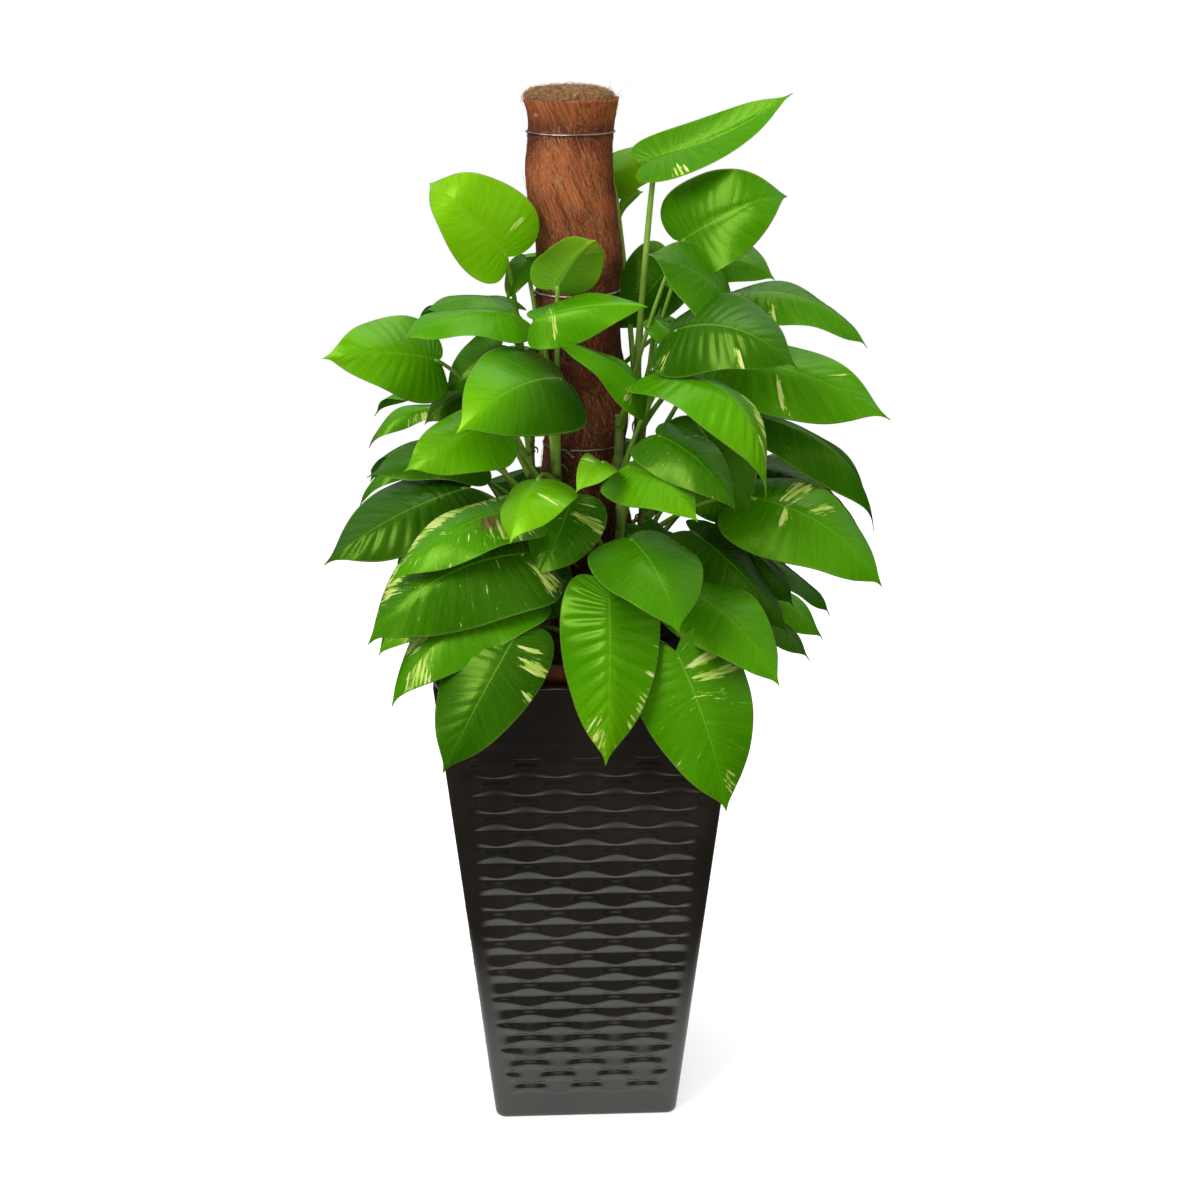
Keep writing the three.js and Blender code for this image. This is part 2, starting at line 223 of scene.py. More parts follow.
def makeWorld():
    world = bpy.data.worlds.new("studioWorld")
    world.use_nodes = True
    scene.world = world
    tree = world.node_tree
    back = tree.nodes["Background"]
    view = addNode(tree, "ShaderNodeTexCoord").outputs["Generated"]
    up = addNode(tree, "ShaderNodeSeparateXYZ", {0: view})
    share = remap(tree, up.outputs[2], *studio["horizon"])
    sky = mixColour(tree, share, (*studio["ground"], 1), (*studio["sky"], 1))
    tree.links.new(sky, back.inputs[0])
    back.inputs[1].default_value = studio["skyStrength"]
    seen = addNode(tree, "ShaderNodeBackground", {0: (1, 1, 1, 1), 1: 1.0})
    pick = addNode(tree, "ShaderNodeMixShader", {0: addNode(tree, "ShaderNodeLightPath").outputs["Is Camera Ray"],
                                                 1: back.outputs[0], 2: seen.outputs[0]})
    tree.links.new(pick.outputs[0], tree.nodes["World Output"].inputs[0])


def makeFloor():
    material, tree, shader = newMaterial("paleFloor", roughness=0.7, Specular_IOR_Level=0.1)
    place = objectPlace(tree)
    grain = addNode(tree, "ShaderNodeTexNoise", {"Vector": place, "Scale": 30.0})
    paper = mixColour(tree, grain.outputs[0], (0.92, 0.92, 0.92, 1), (0.95, 0.95, 0.95, 1))
    away = addNode(tree, "ShaderNodeVectorMath", {0: place}, operation="LENGTH")
    far = remap(tree, away.outputs[1], *studio["floorFade"])
    dimmed = mixColour(tree, far, studio["floorNear"], studio["floorFar"])
    seen = addNode(tree, "ShaderNodeLightPath").outputs["Is Camera Ray"]
    lit = mixColour(tree, seen, dimmed, paper)
    tree.links.new(lit, shader["Base Color"])
    tree.links.new(lit, shader["Emission Color"])
    tree.links.new(remap(tree, seen, 0.0, 1.0, *studio["floorGlow"]), shader["Emission Strength"])
    sides, radius = studio["floorSides"], studio["floorRadius"]
    rim = [(radius * math.cos(angle), radius * math.sin(angle), 0) for angle in turns(sides)]
    data = bpy.data.meshes.new("studioFloor")
    data.from_pydata(rim, [], [tuple(range(sides))])
    data.materials.append(material)
    floor = bpy.data.objects.new("studioFloor", data)
    scene.collection.objects.link(floor)


makeCamera()
makeWorld()
makeFloor()
areaLight("windowLight", (-1.5, -1.7, 2.3), (0, 0, 0.7), 1.3, 1.3, studio["keyPower"])
areaLight("frontFill", (1.5, -1.9, 1.5), (0, 0, 0.6), 1.0, 1.4, studio["fillPower"], mirrored=False)
areaLight("topLight", (0.2, 0.3, 2.6), (0, 0, 0.8), 1.4, 1.4, studio["topPower"])
areaLight("lowFill", (-0.3, -2.3, 0.4), (0, 0, 0.75), 1.2, 0.8, studio["lowPower"], mirrored=False)
areaLight("backFill", (0.4, 2.2, 1.4), (0, 0, 0.7), 1.4, 1.4, studio["lowPower"], mirrored=False)
scene.view_settings.view_transform = "Standard"
print("camera, light and floor done")


floatKind = "NodeSocketFloat"


def makeMottleGroup():
    inputs = [("Vector", "NodeSocketVector", None), ("Scale", floatKind, 20.0), ("Contrast", floatKind, 1.0)]
    tree, came, goes = newGroup("softMottle", inputs, [("Fac", floatKind)])
    cloud = addNode(tree, "ShaderNodeTexNoise", {"Vector": came.outputs[0], "Scale": came.outputs[1], "Detail": 4.0})
    centred = mathNode(tree, "SUBTRACT", cloud.outputs[0], 0.5)
    stretched = mathNode(tree, "MULTIPLY", centred, came.outputs[2])
    tree.links.new(mathNode(tree, "ADD", stretched, 0.5, clamp=True), goes.inputs[0])
    return tree


def makeFibreGroup():
    inputs = [("Vector", "NodeSocketVector", None), ("Across", floatKind, 900.0), ("Along", floatKind, 20.0),
              ("Slant", floatKind, 0.0)]
    tree, came, goes = newGroup("longFibres", inputs, [("Fac", floatKind), ("Coarse", floatKind)])
    parts = addNode(tree, "ShaderNodeSeparateXYZ", {0: came.outputs[0]})
    lean = mathNode(tree, "MULTIPLY", parts.outputs[2], came.outputs[3])
    x = mathNode(tree, "MULTIPLY", mathNode(tree, "ADD", parts.outputs[0], lean), came.outputs[1])
    y = mathNode(tree, "MULTIPLY", parts.outputs[1], came.outputs[1])
    z = mathNode(tree, "MULTIPLY", parts.outputs[2], came.outputs[2])
    place = addNode(tree, "ShaderNodeCombineXYZ", {0: x, 1: y, 2: z})
    fine = addNode(tree, "ShaderNodeTexNoise", {"Vector": place.outputs[0], "Scale": 1.0, "Detail": 3.0})
    slow = addNode(tree, "ShaderNodeVectorMath", {0: place.outputs[0], 3: 0.22}, operation="SCALE")
    coarse = addNode(tree, "ShaderNodeTexNoise", {"Vector": slow.outputs[0], "Scale": 1.0, "Detail": 2.0})
    tree.links.new(fine.outputs[0], goes.inputs[0])
    tree.links.new(coarse.outputs[0], goes.inputs[1])
    return tree


def makeVeinGroup():
    outputs = [(label, floatKind) for label in ("Midrib", "Vein", "Margin", "Streak", "Fleck")]
    tree, came, goes = newGroup("leafVeins", [("Map", "NodeSocketVector", None), ("Seed", floatKind, 0.0)], outputs)
    parts = addNode(tree, "ShaderNodeSeparateXYZ", {0: came.outputs[0]})
    signed = mathNode(tree, "MULTIPLY_ADD", parts.outputs[1], 2.0, -1.0)
    away = mathNode(tree, "ABSOLUTE", signed)
    tree.links.new(remap(tree, away, 0.026, 0.006), goes.inputs[0])
    wave = mathNode(tree, "PINGPONG", mathNode(tree, "MULTIPLY", parts.outputs[0], 17.0), 0.5)
    line = remap(tree, wave, 0.075, 0.0)
    fading = remap(tree, away, 1.0, 0.25)
    tree.links.new(mathNode(tree, "MULTIPLY", line, fading), goes.inputs[1])
    tree.links.new(remap(tree, away, 0.962, 0.99), goes.inputs[2])
    depth = mathNode(tree, "MULTIPLY", came.outputs[1], 37.0)
    side = mathNode(tree, "MULTIPLY_ADD", mathNode(tree, "SIGN", signed), 5.0, depth)
    for index, (across, along, detail) in enumerate([(74.0, 1.7, 4.0), (150.0, 7.0, 2.0)]):
        x = mathNode(tree, "MULTIPLY", parts.outputs[0], across)
        y = mathNode(tree, "MULTIPLY", away, along)
        place = addNode(tree, "ShaderNodeCombineXYZ", {0: x, 1: y, 2: side})
        cloud = addNode(tree, "ShaderNodeTexNoise", {"Vector": place.outputs[0], "Scale": 1.0, "Detail": detail})
        tree.links.new(cloud.outputs[0], goes.inputs[3 + index])
    return tree


softMottle = makeMottleGroup()
longFibres = makeFibreGroup()
leafVeins = makeVeinGroup()


def mottle(tree, place, scale, contrast):
    return useGroup(tree, softMottle, {"Vector": place, "Scale": scale, "Contrast": contrast})[0]


def fibreLines(tree, place, across, along, slant=0.0):
    return useGroup(tree, longFibres, {"Vector": place, "Across": across, "Along": along, "Slant": slant})


planter = {
    "height": 520.0, "topSide": 300.0, "footSide": 196.0, "wall": 11.0, "floor": 14.0, "corner": 0.058,
    "rowHeight": 15.0, "rowGrowth": 80.0, "waveLength": 60.0, "relief": 3.1, "patternLow": 26.0, "patternHigh": 482.0,
    "sideMargin": 12.0, "ridgeLow": 0.12, "ridgeRise": 0.54,
}


def glazeMaterial():
    material, tree, shader = newMaterial("blackGlaze", roughness=0.11, IOR=2.0, Coat_Weight=0.5, Coat_Roughness=0.04)
    place = objectPlace(tree)
    cloud = mottle(tree, place, 9.0, 1.3)
    fine = mottle(tree, place, 160.0, 1.2)
    base = rampNode(tree, cloud, [(0.2, (0.008, 0.007, 0.005)), (0.8, (0.022, 0.0175, 0.012))])
    paint(tree, shader, base, remap(tree, cloud, 0.1, 0.9, 0.07, 0.16))
    bumpInto(tree, shader, fine, 0.0003, 0.12)
    return material


def planterSide(height):
    return lerp(planter["footSide"], planter["topSide"], height / planter["height"])


# points round a square with round corners: position, outward normal, distance along the face from its middle
def squareRing(side, flats, rounds):
    corner = planter["corner"] * side
    half = side / 2 - corner
    ring = []
    for turn in range(4):
        angle = turn * math.pi / 2 - math.pi / 2
        outward = np.array([math.cos(angle), math.sin(angle)])
        along = np.array([-math.sin(angle), math.cos(angle)])
        for i in range(flats):
            u = lerp(-half, half, i / flats)
            ring.append((outward * side / 2 + along * u, outward, u))
        for i in range(rounds):
            swing = angle + (math.pi / 2) * i / rounds
            out = np.array([math.cos(swing), math.sin(swing)])
            ring.append(((outward + along) * half + out * corner, out, side))
    return ring


# rows of waves grow taller towards the rim
def rowFoot(row):
    return planter["rowHeight"] * planter["rowGrowth"] * (math.exp(row / planter["rowGrowth"]) - 1)


def waveRelief(u, height, side):
    place = planter["rowGrowth"] * math.log(1 + height / (planter["rowHeight"] * planter["rowGrowth"]))
    row = math.floor(place + 1e-6)
    share = max(0.0, place - row)
    hump = (0.5 + 0.5 * math.cos(2 * math.pi * u / planter["waveLength"] + math.pi * (row % 2))) ** 0.85
    ridge = planter["ridgeLow"] + planter["ridgeRise"] * hump  # a level groove below, a humped ridge above it
    lift = share / ridge if share < ridge else (1 - share) / (1 - ridge)
    lift = (0.65 * lift + 0.35 * lift * lift * (3 - 2 * lift)) * (0.74 + 0.26 * hump)
    edge = side * (0.5 - planter["corner"]) + 0.1
    mask = float(smoothStep(edge, edge - planter["sideMargin"], abs(u)))
    mask *= float(smoothStep(planter["patternLow"] - 6, planter["patternLow"] + 14, height))
    mask *= float(smoothStep(planter["patternHigh"] + 10, planter["patternHigh"] - 60, height))
    mask *= 1 - 0.2 * float(smoothStep(250, 400, height))
    return planter["relief"] * mask * (lift - 0.45)


def makePlanter():
    flats, rounds = 62, 7
    heights = [0.0, 0.6, 1.8, 4.0, 8.0, 13.0, 18.0]
    heights += [rowFoot(k / 9) for k in range(13, 246)]
    heights += [497, 502, 506, 510, 513.5, 516.5, 518.7, 519.7]
    columns = 4 * (flats + rounds)
    points = []
    for height in heights:
        side = planterSide(height)
        low = max(0.0, 1 - height / 4.0)
        high = max(0.0, (height - 515) / 5.0)
        inset = 2.6 * low * low + 2.4 * (1 - math.sqrt(max(0.0, 1 - high * high)))
        for place, outward, u in squareRing(side, flats, rounds):
            spot = place + outward * (waveRelief(u, height, side) - inset)
            points.append((spot[0], spot[1], height))
    faces = gridFaces(len(heights), columns, closed=True)
    inner = [(planter["height"], 4.2), (519.9, 6.5), (519.0, 9.0), (517.0, 10.6)]
    inner += [(height, planter["wall"]) for height in (513.0, 400.0, 260.0, 120.0, 30.0)]
    inner += [(16.0, 13.5), (planter["floor"], 20.0)]
    for height, inset in inner:
        side = planterSide(height)
        for place, outward, u in squareRing(side, flats, rounds):
            spot = place - outward * inset
            points.append((spot[0], spot[1], height))
    first = (len(heights) - 1) * columns
    faces += gridFaces(len(inner) + 1, columns, closed=True, start=first)
    points += [(0, 0, planter["floor"]), (0, 0, 0)]
    faces += fanFaces((len(heights) + len(inner) - 1) * columns, columns, len(points) - 2)
    faces += fanFaces(0, columns, len(points) - 1, flip=True)
    makePiece("planter", toMetres(points), faces, [glazeMaterial()], replaced=["planter"])


makePlanter()
print("planter done")


nursery = {
    "rimTop": 536.0, "rimRadius": 132.0, "band": 24.0, "lip": 3.0, "foot": 253.0, "wall": 2.2, "footRadius": 111.7,
}
soil = {"top": 506.0, "edgeHeight": 502.0, "foot": 258.0, "grainDensity": 42000.0, "seed": 4}


def ringPoints(profile, sides):
    return [(radius * math.cos(angle) * mm, radius * math.sin(angle) * mm, height * mm)
            for radius, height in profile for angle in turns(sides)]


def nurseryMaterial():
    material, tree, shader = newMaterial("terracottaPlastic", roughness=0.5)
    place = objectPlace(tree)
    cloud = mottle(tree, place, 35.0, 1.5)
    scuffs = fibreLines(tree, place, 60.0, 900.0)
    base = rampNode(tree, cloud, [(0.15, (0.13, 0.032, 0.018)), (0.85, (0.24, 0.062, 0.03))])
    dusty = mixColour(tree, remap(tree, scuffs[0], 0.62, 0.8, 0.0, 0.4), base, (0.3, 0.16, 0.1, 1))
    paint(tree, shader, dusty, remap(tree, cloud, 0.2, 0.8, 0.38, 0.62))
    bumpInto(tree, shader, scuffs[1], 0.0004, 0.3)
    return material


def makeNurseryPot():
    top, radius, foot, wall = nursery["rimTop"], nursery["rimRadius"], nursery["foot"], nursery["wall"]
    bandFoot = top - nursery["band"]
    body = radius - nursery["lip"]
    outer = [(nursery["footRadius"] - 3, foot), (nursery["footRadius"], foot + 3), (body - 0.6, bandFoot - 3),
             (body, bandFoot - 0.5), (radius - 0.8, bandFoot), (radius, bandFoot + 1), (radius, top - 4),
             (radius - 0.2, top - 1.2), (radius - 1.2, top), (radius - 2.4, top - 0.4), (radius - wall - 0.8, top - 2),
             (radius - wall - 0.8, bandFoot + 1), (body - wall - 0.8, bandFoot - 2),
             (nursery["footRadius"] - wall, foot + 4), (nursery["footRadius"] - wall - 2, foot + wall)]
    sides = 112
    points = ringPoints(outer, sides)
    faces = gridFaces(len(outer), sides, closed=True)
    points += [(0, 0, (foot + wall) * mm), (0, 0, foot * mm)]
    faces += fanFaces((len(outer) - 1) * sides, sides, len(points) - 2)
    faces += fanFaces(0, sides, len(points) - 1, flip=True)
    makePiece("nurseryPot", points, faces, [nurseryMaterial()], replaced=["nursery_pot"])


def soilMaterial(name, dark, light):
    material, tree, shader = newMaterial(name, roughness=0.95)
    place = objectPlace(tree)
    cloud = mottle(tree, place, 140.0, 1.8)
    grit = mottle(tree, place, 700.0, 2.0)
    paint(tree, shader, rampNode(tree, cloud, [(0.2, dark), (0.85, light)]),
          remap(tree, cloud, 0.0, 1.0, 0.8, 1.0))
    bumpInto(tree, shader, grit, 0.0012, 0.7)
    return material


def nurseryInside(height):
    bandFoot = nursery["rimTop"] - nursery["band"]
    share = (height - nursery["foot"]) / (bandFoot - nursery["foot"])
    return lerp(nursery["footRadius"], nursery["rimRadius"] - nursery["lip"], share) - 3.6


def makeSoilBody():
    rings, sides = 46, 120
    edge = nurseryInside(soil["edgeHeight"])
    points = []
    for i in range(1, rings + 1):
        radius = edge * i / rings
        for angle in turns(sides):
            x, y = radius * math.cos(angle), radius * math.sin(angle)
            lump = 2.2 * noise.noise((x / 14, y / 14, 3.1)) + 1.2 * noise.noise((x / 5, y / 5, 8.3))
            slump = -3.0 * smoothStep(0.75, 1.0, radius / edge)
            points.append((x * mm, y * mm, (soil["top"] + lump + slump - 1.0) * mm))
    faces = gridFaces(rings, sides, closed=True, flip=True)
    points += ringPoints([(nurseryInside(height), height) for height in (470.0, soil["foot"])], sides)
    faces += gridFaces(3, sides, closed=True, start=(rings - 1) * sides, flip=True)
    points += [(0, 0, soil["top"] * mm), (0, 0, soil["foot"] * mm)]
    faces += fanFaces(0, sides, len(points) - 2)
    faces += fanFaces((rings + 1) * sides, sides, len(points) - 1, flip=True)
    peat = soilMaterial("peatMix", (0.008, 0.005, 0.0035), (0.045, 0.025, 0.014))
    return makePiece("pottingMix", points, faces, [peat], replaced=["potting_mix"])


makeNurseryPot()
soilBody = makeSoilBody()
print("nursery pot and potting mix done")


pole = {
    "foot": 262.0, "top": 1062.0, "lean": -2.43, "soilX": 13.0, "neck": 40.5, "ties": [1031.0, 880.0, 728.0, 576.0],
    "wireRadius": 1.0, "hairDensity": 6000.0, "tuftDensity": 420000.0, "seed": 11,
}


def poleCentreX(height):
    return pole["soilX"] + (height - soil["top"]) * math.tan(math.radians(pole["lean"]))


# bulges and sways between the ties, gathers at each one and flares at the top
def wrapRadius(height, angle=0.0):
    nearest = min(abs(height - tied) for tied in pole["ties"])
    bulge = 2.4 * (1 - math.exp(-((nearest / 26) ** 2)))
    flare = 2.0 * max(0.0, 1 - (pole["top"] - height) / 26)
    around = (math.cos(angle), math.sin(angle))
    lumps = 5.4 * noise.noise((around[0] * 1.2, around[1] * 1.2, height / 46)) * min(1.0, nearest / 30)
    lumps += 3.4 * math.sin(2 * math.pi * (height - pole["ties"][1]) / 151.5) * around[0]  # swells left, then right
    gathers = 0.9 * math.sin(angle * 19 + 3 * noise.noise((around[0], around[1], height / 60))) * math.exp(-nearest / 9)
    strands = 0.55 * noise.noise((around[0] * 16 + height / 14, around[1] * 16, height / 46))
    strands += 0.3 * noise.noise((around[0] * 40 + height / 7, around[1] * 40, height / 30))
    return pole["neck"] + bulge + flare + lumps + gathers + strands


def poleSpot(radius, angle, height):
    return (poleCentreX(height) + radius * math.cos(angle), radius * math.sin(angle), height)


def wrapMaterial():
    material, tree, shader = newMaterial("palmFibreSheath", roughness=0.62, Specular_IOR_Level=0.35)
    place = objectPlace(tree)
    fibres = fibreLines(tree, place, 1400.0, 30.0, 0.42)
    crossed = fibreLines(tree, place, 380.0, 30.0, -0.18)
    cloud = mottle(tree, place, 16.0, 2.0)
    height = addNode(tree, "ShaderNodeSeparateXYZ", {0: place}).outputs[2]
    # painted shade: the wrap grows darker lower down, where it sits inside the foliage
    lower = remap(tree, height, 1.0, 0.6)
    warm = rampNode(tree, cloud, [(0.15, (0.1, 0.014, 0.007)), (0.5, (0.24, 0.04, 0.014)),
                                  (0.85, (0.46, 0.115, 0.027))])
    canopyShadedWrap = mixColour(tree, mathNode(tree, "MULTIPLY", lower, 0.8), warm, (0.035, 0.009, 0.006, 1))
    # painted light: above 1.03 m the wrap is lifted to a brighter orange, as if lit, though the flare faces slightly
    # down
    paintedLitTop = mixColour(tree, remap(tree, height, 1.03, 1.05, 0.0, 0.65), canopyShadedWrap, (0.56, 0.15, 0.036, 1))
    # painted shade: the wrap darkens close to each tie, in the folds where it is gathered in
    apart = mathNode(tree, "PINGPONG", mathNode(tree, "ADD", height, -0.5765), 0.0758)
    tied = mixColour(tree, remap(tree, apart, 0.018, 0.0, 0.0, 0.5), paintedLitTop, (0.06, 0.014, 0.006, 1))
    gaps = remap(tree, fibres[1], 0.52, 0.38, 0.0, 0.55)
    shaded = mixColour(tree, gaps, tied, (0.035, 0.008, 0.004, 1))
    tan = mathNode(tree, "MULTIPLY", remap(tree, fibres[0], 0.53, 0.61), remap(tree, cloud, 0.3, 0.7, 0.35, 0.9))
    straw = mixColour(tree, tan, shaded, (0.5, 0.24, 0.1, 1))
    pale = mathNode(tree, "MULTIPLY", remap(tree, crossed[0], 0.64, 0.72), 0.35)
    paint(tree, shader, mixColour(tree, pale, straw, (0.55, 0.3, 0.15, 1)),
          remap(tree, fibres[0], 0.3, 0.7, 0.5, 0.8))
    bumpInto(tree, shader, mathNode(tree, "ADD", fibres[0], crossed[1]), 0.0016, 0.75)
    return material


def strandMaterial(name, dark, light):
    material, tree, shader = newMaterial(name, roughness=0.7)
    place = objectPlace(tree)
    cloud = mottle(tree, place, 260.0, 2.2)
    paint(tree, shader, rampNode(tree, cloud, [(0.15, dark), (0.85, light)]),
          remap(tree, cloud, 0.0, 1.0, 0.55, 0.85))
    return material


def makeWrap():
    sides, rows = 200, 300
    points = []
    for i in range(rows):
        height = lerp(pole["foot"], pole["top"], i / (rows - 1))
        for angle in turns(sides):
            ragged = 2.0 * noise.noise((math.cos(angle) * 5, math.sin(angle) * 5, 0.5)) if i == rows - 1 else 0.0
            points.append(poleSpot(wrapRadius(height, angle), angle, height + ragged))
    for height, inset in [(pole["top"] - 2, 3.0), (pole["top"] - 14, 4.4), (pole["foot"], 4.4)]:
        points += [poleSpot(wrapRadius(height) - inset, angle, height) for angle in turns(sides)]
    faces = gridFaces(rows + 3, sides, closed=True)
    last = (rows + 2) * sides
    faces += [(last + j, last + (j + 1) % sides, (j + 1) % sides, j) for j in range(sides)]
    return makePiece("palmFibreWrap", toMetres(points), faces, [wrapMaterial()],
                     replaced=["palm_fibre_wrap"])


def coirMaterial():
    material, tree, shader = newMaterial("coirFibre", roughness=0.9)
    place = objectPlace(tree)
    cloud = mottle(tree, place, 120.0, 2.2)
    fibres = fibreLines(tree, place, 300.0, 260.0, 0.4)
    base = rampNode(tree, cloud, [(0.15, (0.14, 0.06, 0.022)), (0.85, (0.5, 0.27, 0.11))])
    paint(tree, shader, mixColour(tree, remap(tree, fibres[0], 0.5, 0.7, 0.0, 0.6), base, (0.5, 0.32, 0.15, 1)),
          remap(tree, cloud, 0.0, 1.0, 0.8, 1.0))
    bumpInto(tree, shader, fibres[0], 0.002, 0.9)
    return material


def makeFilling():
    sides = 96
    rings = [(39.0, pole["foot"]), (39.0, 1040.0), (40.5, 1054.0), (41.5, 1061.0), (40.5, 1064.5), (36.0, 1067.0)]
    rings += [(30.0, 1068.6), (23.0, 1069.6), (16.0, 1070.4), (8.0, 1071.0)]
    points = []
    for radius, height in rings:
        for angle in turns(sides):
            lump = 2.6 * noise.noise((radius * math.cos(angle) / 7, radius * math.sin(angle) / 7, 2.0))
            rise = lump if height > 1062 else 0.0
            points.append(poleSpot(radius + (lump * 0.4 if height > 1045 else 0.0), angle, height + rise))
    faces = gridFaces(len(rings), sides, closed=True)
    points += [poleSpot(0, 0, 1071.6), poleSpot(0, 0, pole["foot"])]
    faces += fanFaces((len(rings) - 1) * sides, sides, len(points) - 2)
    faces += fanFaces(0, sides, len(points) - 1, flip=True)
    return makePiece("coirFilling", toMetres(points), faces, [coirMaterial()], replaced=["coir_filling"])


# puts copies of a strand or grain on the faces of a piece, and gives them a material
def scatterTree(name, strand, material, stand, spread):
    tree = bpy.data.node_groups.new(name, "GeometryNodeTree")
    sockets = {}
    tree.interface.new_socket(name="Geometry", in_out="INPUT", socket_type="NodeSocketGeometry")
    for label, kind in [("Count", floatKind), ("Seed", "NodeSocketInt"), ("Smallest", floatKind),
                        ("Largest", floatKind), ("Lowest", floatKind)]:
        sockets[label] = tree.interface.new_socket(name=label, in_out="INPUT", socket_type=kind).identifier
    tree.interface.new_socket(name="Geometry", in_out="OUTPUT", socket_type="NodeSocketGeometry")
    came, goes = tree.nodes.new("NodeGroupInput"), tree.nodes.new("NodeGroupOutput")
    place = addNode(tree, "GeometryNodeInputPosition").outputs[0]
    height = addNode(tree, "ShaderNodeSeparateXYZ", {0: place}).outputs[2]
    normal = addNode(tree, "GeometryNodeInputNormal").outputs[0]
    facing = addNode(tree, "ShaderNodeSeparateXYZ", {0: normal}).outputs[2]
    high = addNode(tree, "FunctionNodeCompare", {0: height, 1: came.outputs["Lowest"]}, operation="GREATER_THAN")
    turned = addNode(tree, "FunctionNodeCompare", {0: facing, 1: stand[0]}, operation="GREATER_THAN")
    both = addNode(tree, "FunctionNodeBooleanMath", {0: high.outputs[0], 1: turned.outputs[0]}, operation="AND")
    spots = addNode(tree, "GeometryNodeDistributePointsOnFaces", {"Mesh": came.outputs[0], "Selection": both.outputs[0],
                    "Density": came.outputs["Count"], "Seed": came.outputs["Seed"]})
    source = addNode(tree, "GeometryNodeObjectInfo", {0: strand})
    upright = addNode(tree, "FunctionNodeAlignRotationToVector", {"Vector": spots.outputs["Normal"]}, axis="Z")
    along = addNode(tree, "FunctionNodeAlignRotationToVector", {"Rotation": upright.outputs[0], "Vector": stand[1]},
                    axis="X", pivot_axis="Z")
    tilt, swing = spread
    turn = addNode(tree, "FunctionNodeRandomValue", {0: (-tilt, -tilt, -swing), 1: (tilt, tilt, swing),
                   "Seed": came.outputs["Seed"]}, data_type="FLOAT_VECTOR")
    loose = addNode(tree, "FunctionNodeRotateRotation", {0: along.outputs[0], 1: turn.outputs[0]},
                    rotation_space="LOCAL")
    size = addNode(tree, "FunctionNodeRandomValue", {2: came.outputs["Smallest"], 3: came.outputs["Largest"]})
    copies = addNode(tree, "GeometryNodeInstanceOnPoints", {
        "Points": spots.outputs[0], "Instance": source.outputs["Geometry"], "Rotation": loose.outputs[0],
        "Scale": size.outputs[1]})
    real = addNode(tree, "GeometryNodeRealizeInstances", {0: copies.outputs[0]})
    coloured = addNode(tree, "GeometryNodeSetMaterial", {"Geometry": real.outputs[0], "Material": material})
    tree.links.new(coloured.outputs[0], goes.inputs[0])
    return tree, sockets


def scatterOn(name, ground, strand, material, density, seed, sizes, lowest, stand, spread):
    tree, sockets = scatterTree(name + "Nodes", strand, material, stand, spread)
    carrier = bpy.data.objects.new(name + "Carrier", ground.data)
    scene.collection.objects.link(carrier)
    modifier = carrier.modifiers.new("scatter", "NODES")
    modifier.node_group = tree
    given = {"Count": density, "Seed": seed, "Smallest": sizes[0], "Largest": sizes[1], "Lowest": lowest}
    for label, value in given.items():
        modifier[sockets[label]] = value
    depsgraph = bpy.context.evaluated_depsgraph_get()
    data = bpy.data.meshes.new_from_object(carrier.evaluated_get(depsgraph), depsgraph=depsgraph)
    carrier.modifiers.remove(modifier)
    bpy.data.objects.remove(carrier)
    data.name = name
    piece = bpy.data.objects.new(name, data)
    scene.collection.objects.link(piece)
    placePiece(piece)
    print(name, len(data.polygons), "faces")


def looseMesh(name, points, faces):
    return bpy.data.objects.new(name, smoothMesh(name, points, faces))


# a slender three-sided fibre along X that bows away from the surface
def strandShape(name, length, radius, lift):
    points = []
    for i in range(5):
        t = i / 4
        thin = radius * (1 - 0.75 * t)
        x, z = length * (t - 0.3), lift * math.sin(math.pi * t) + lift * 0.4 * t * t
        for angle in turns(3):
            points.append((x, thin * math.cos(angle), z + thin * math.sin(angle)))
    faces = gridFaces(5, 3, closed=True)
    faces += [(2, 1, 0), (12, 13, 14)]
    return looseMesh(name, points, faces)


def grainShape(name, seed):
    source = random.Random(seed)
    points = []
    for i in range(4):
        tilt = math.pi * (i + 0.5) / 4
        for angle in turns(6):
            r = source.uniform(0.7, 1.25)
            points.append((r * math.sin(tilt) * math.cos(angle), r * math.sin(tilt) * math.sin(angle),
                           -r * 0.8 * math.cos(tilt)))
    faces = gridFaces(4, 6, closed=True)
    faces += [(5, 4, 3, 2, 1, 0), (18, 19, 20, 21, 22, 23)]
    return looseMesh(name, points, faces)


def wireMaterial():
    material, tree, shader = newMaterial("tieWire", roughness=0.35, metallic=1.0)
    cloud = mottle(tree, objectPlace(tree), 90.0, 1.6)
    paint(tree, shader, rampNode(tree, cloud, [(0.2, (0.42, 0.32, 0.28)), (0.8, (0.74, 0.66, 0.62))]),
          remap(tree, cloud, 0.2, 0.8, 0.25, 0.5))
    return material


# points and faces of a tube along a path, its section kept upright
def tubePath(path, radii, sides, up=Vector((0, 0, 1)), shape=None):
    path = [Vector(p) for p in path]
    points = []
    for i, spot in enumerate(path):
        ahead = (path[min(i + 1, len(path) - 1)] - path[max(i - 1, 0)]).normalized()
        side = ahead.cross(up)
        side = side.normalized() if side.length > 1e-4 else Vector((1, 0, 0))
        top = side.cross(ahead).normalized()
        for angle in turns(sides):
            radius = radii[i] * (shape(angle, i / (len(path) - 1)) if shape else 1.0)
            points.append(spot + side * radius * math.cos(angle) + top * radius * math.sin(angle))
    faces = gridFaces(len(path), sides, closed=True, flip=True)
    points += [path[0], path[-1]]
    faces += fanFaces(0, sides, len(points) - 2)
    faces += fanFaces((len(path) - 1) * sides, sides, len(points) - 1, flip=True)
    return points, faces


def joinParts(parts):
    points, faces = [], []
    for somePoints, someFaces in parts:
        start = len(points)
        points += somePoints
        faces += [tuple(start + k for k in face) for face in someFaces]
    return points, faces


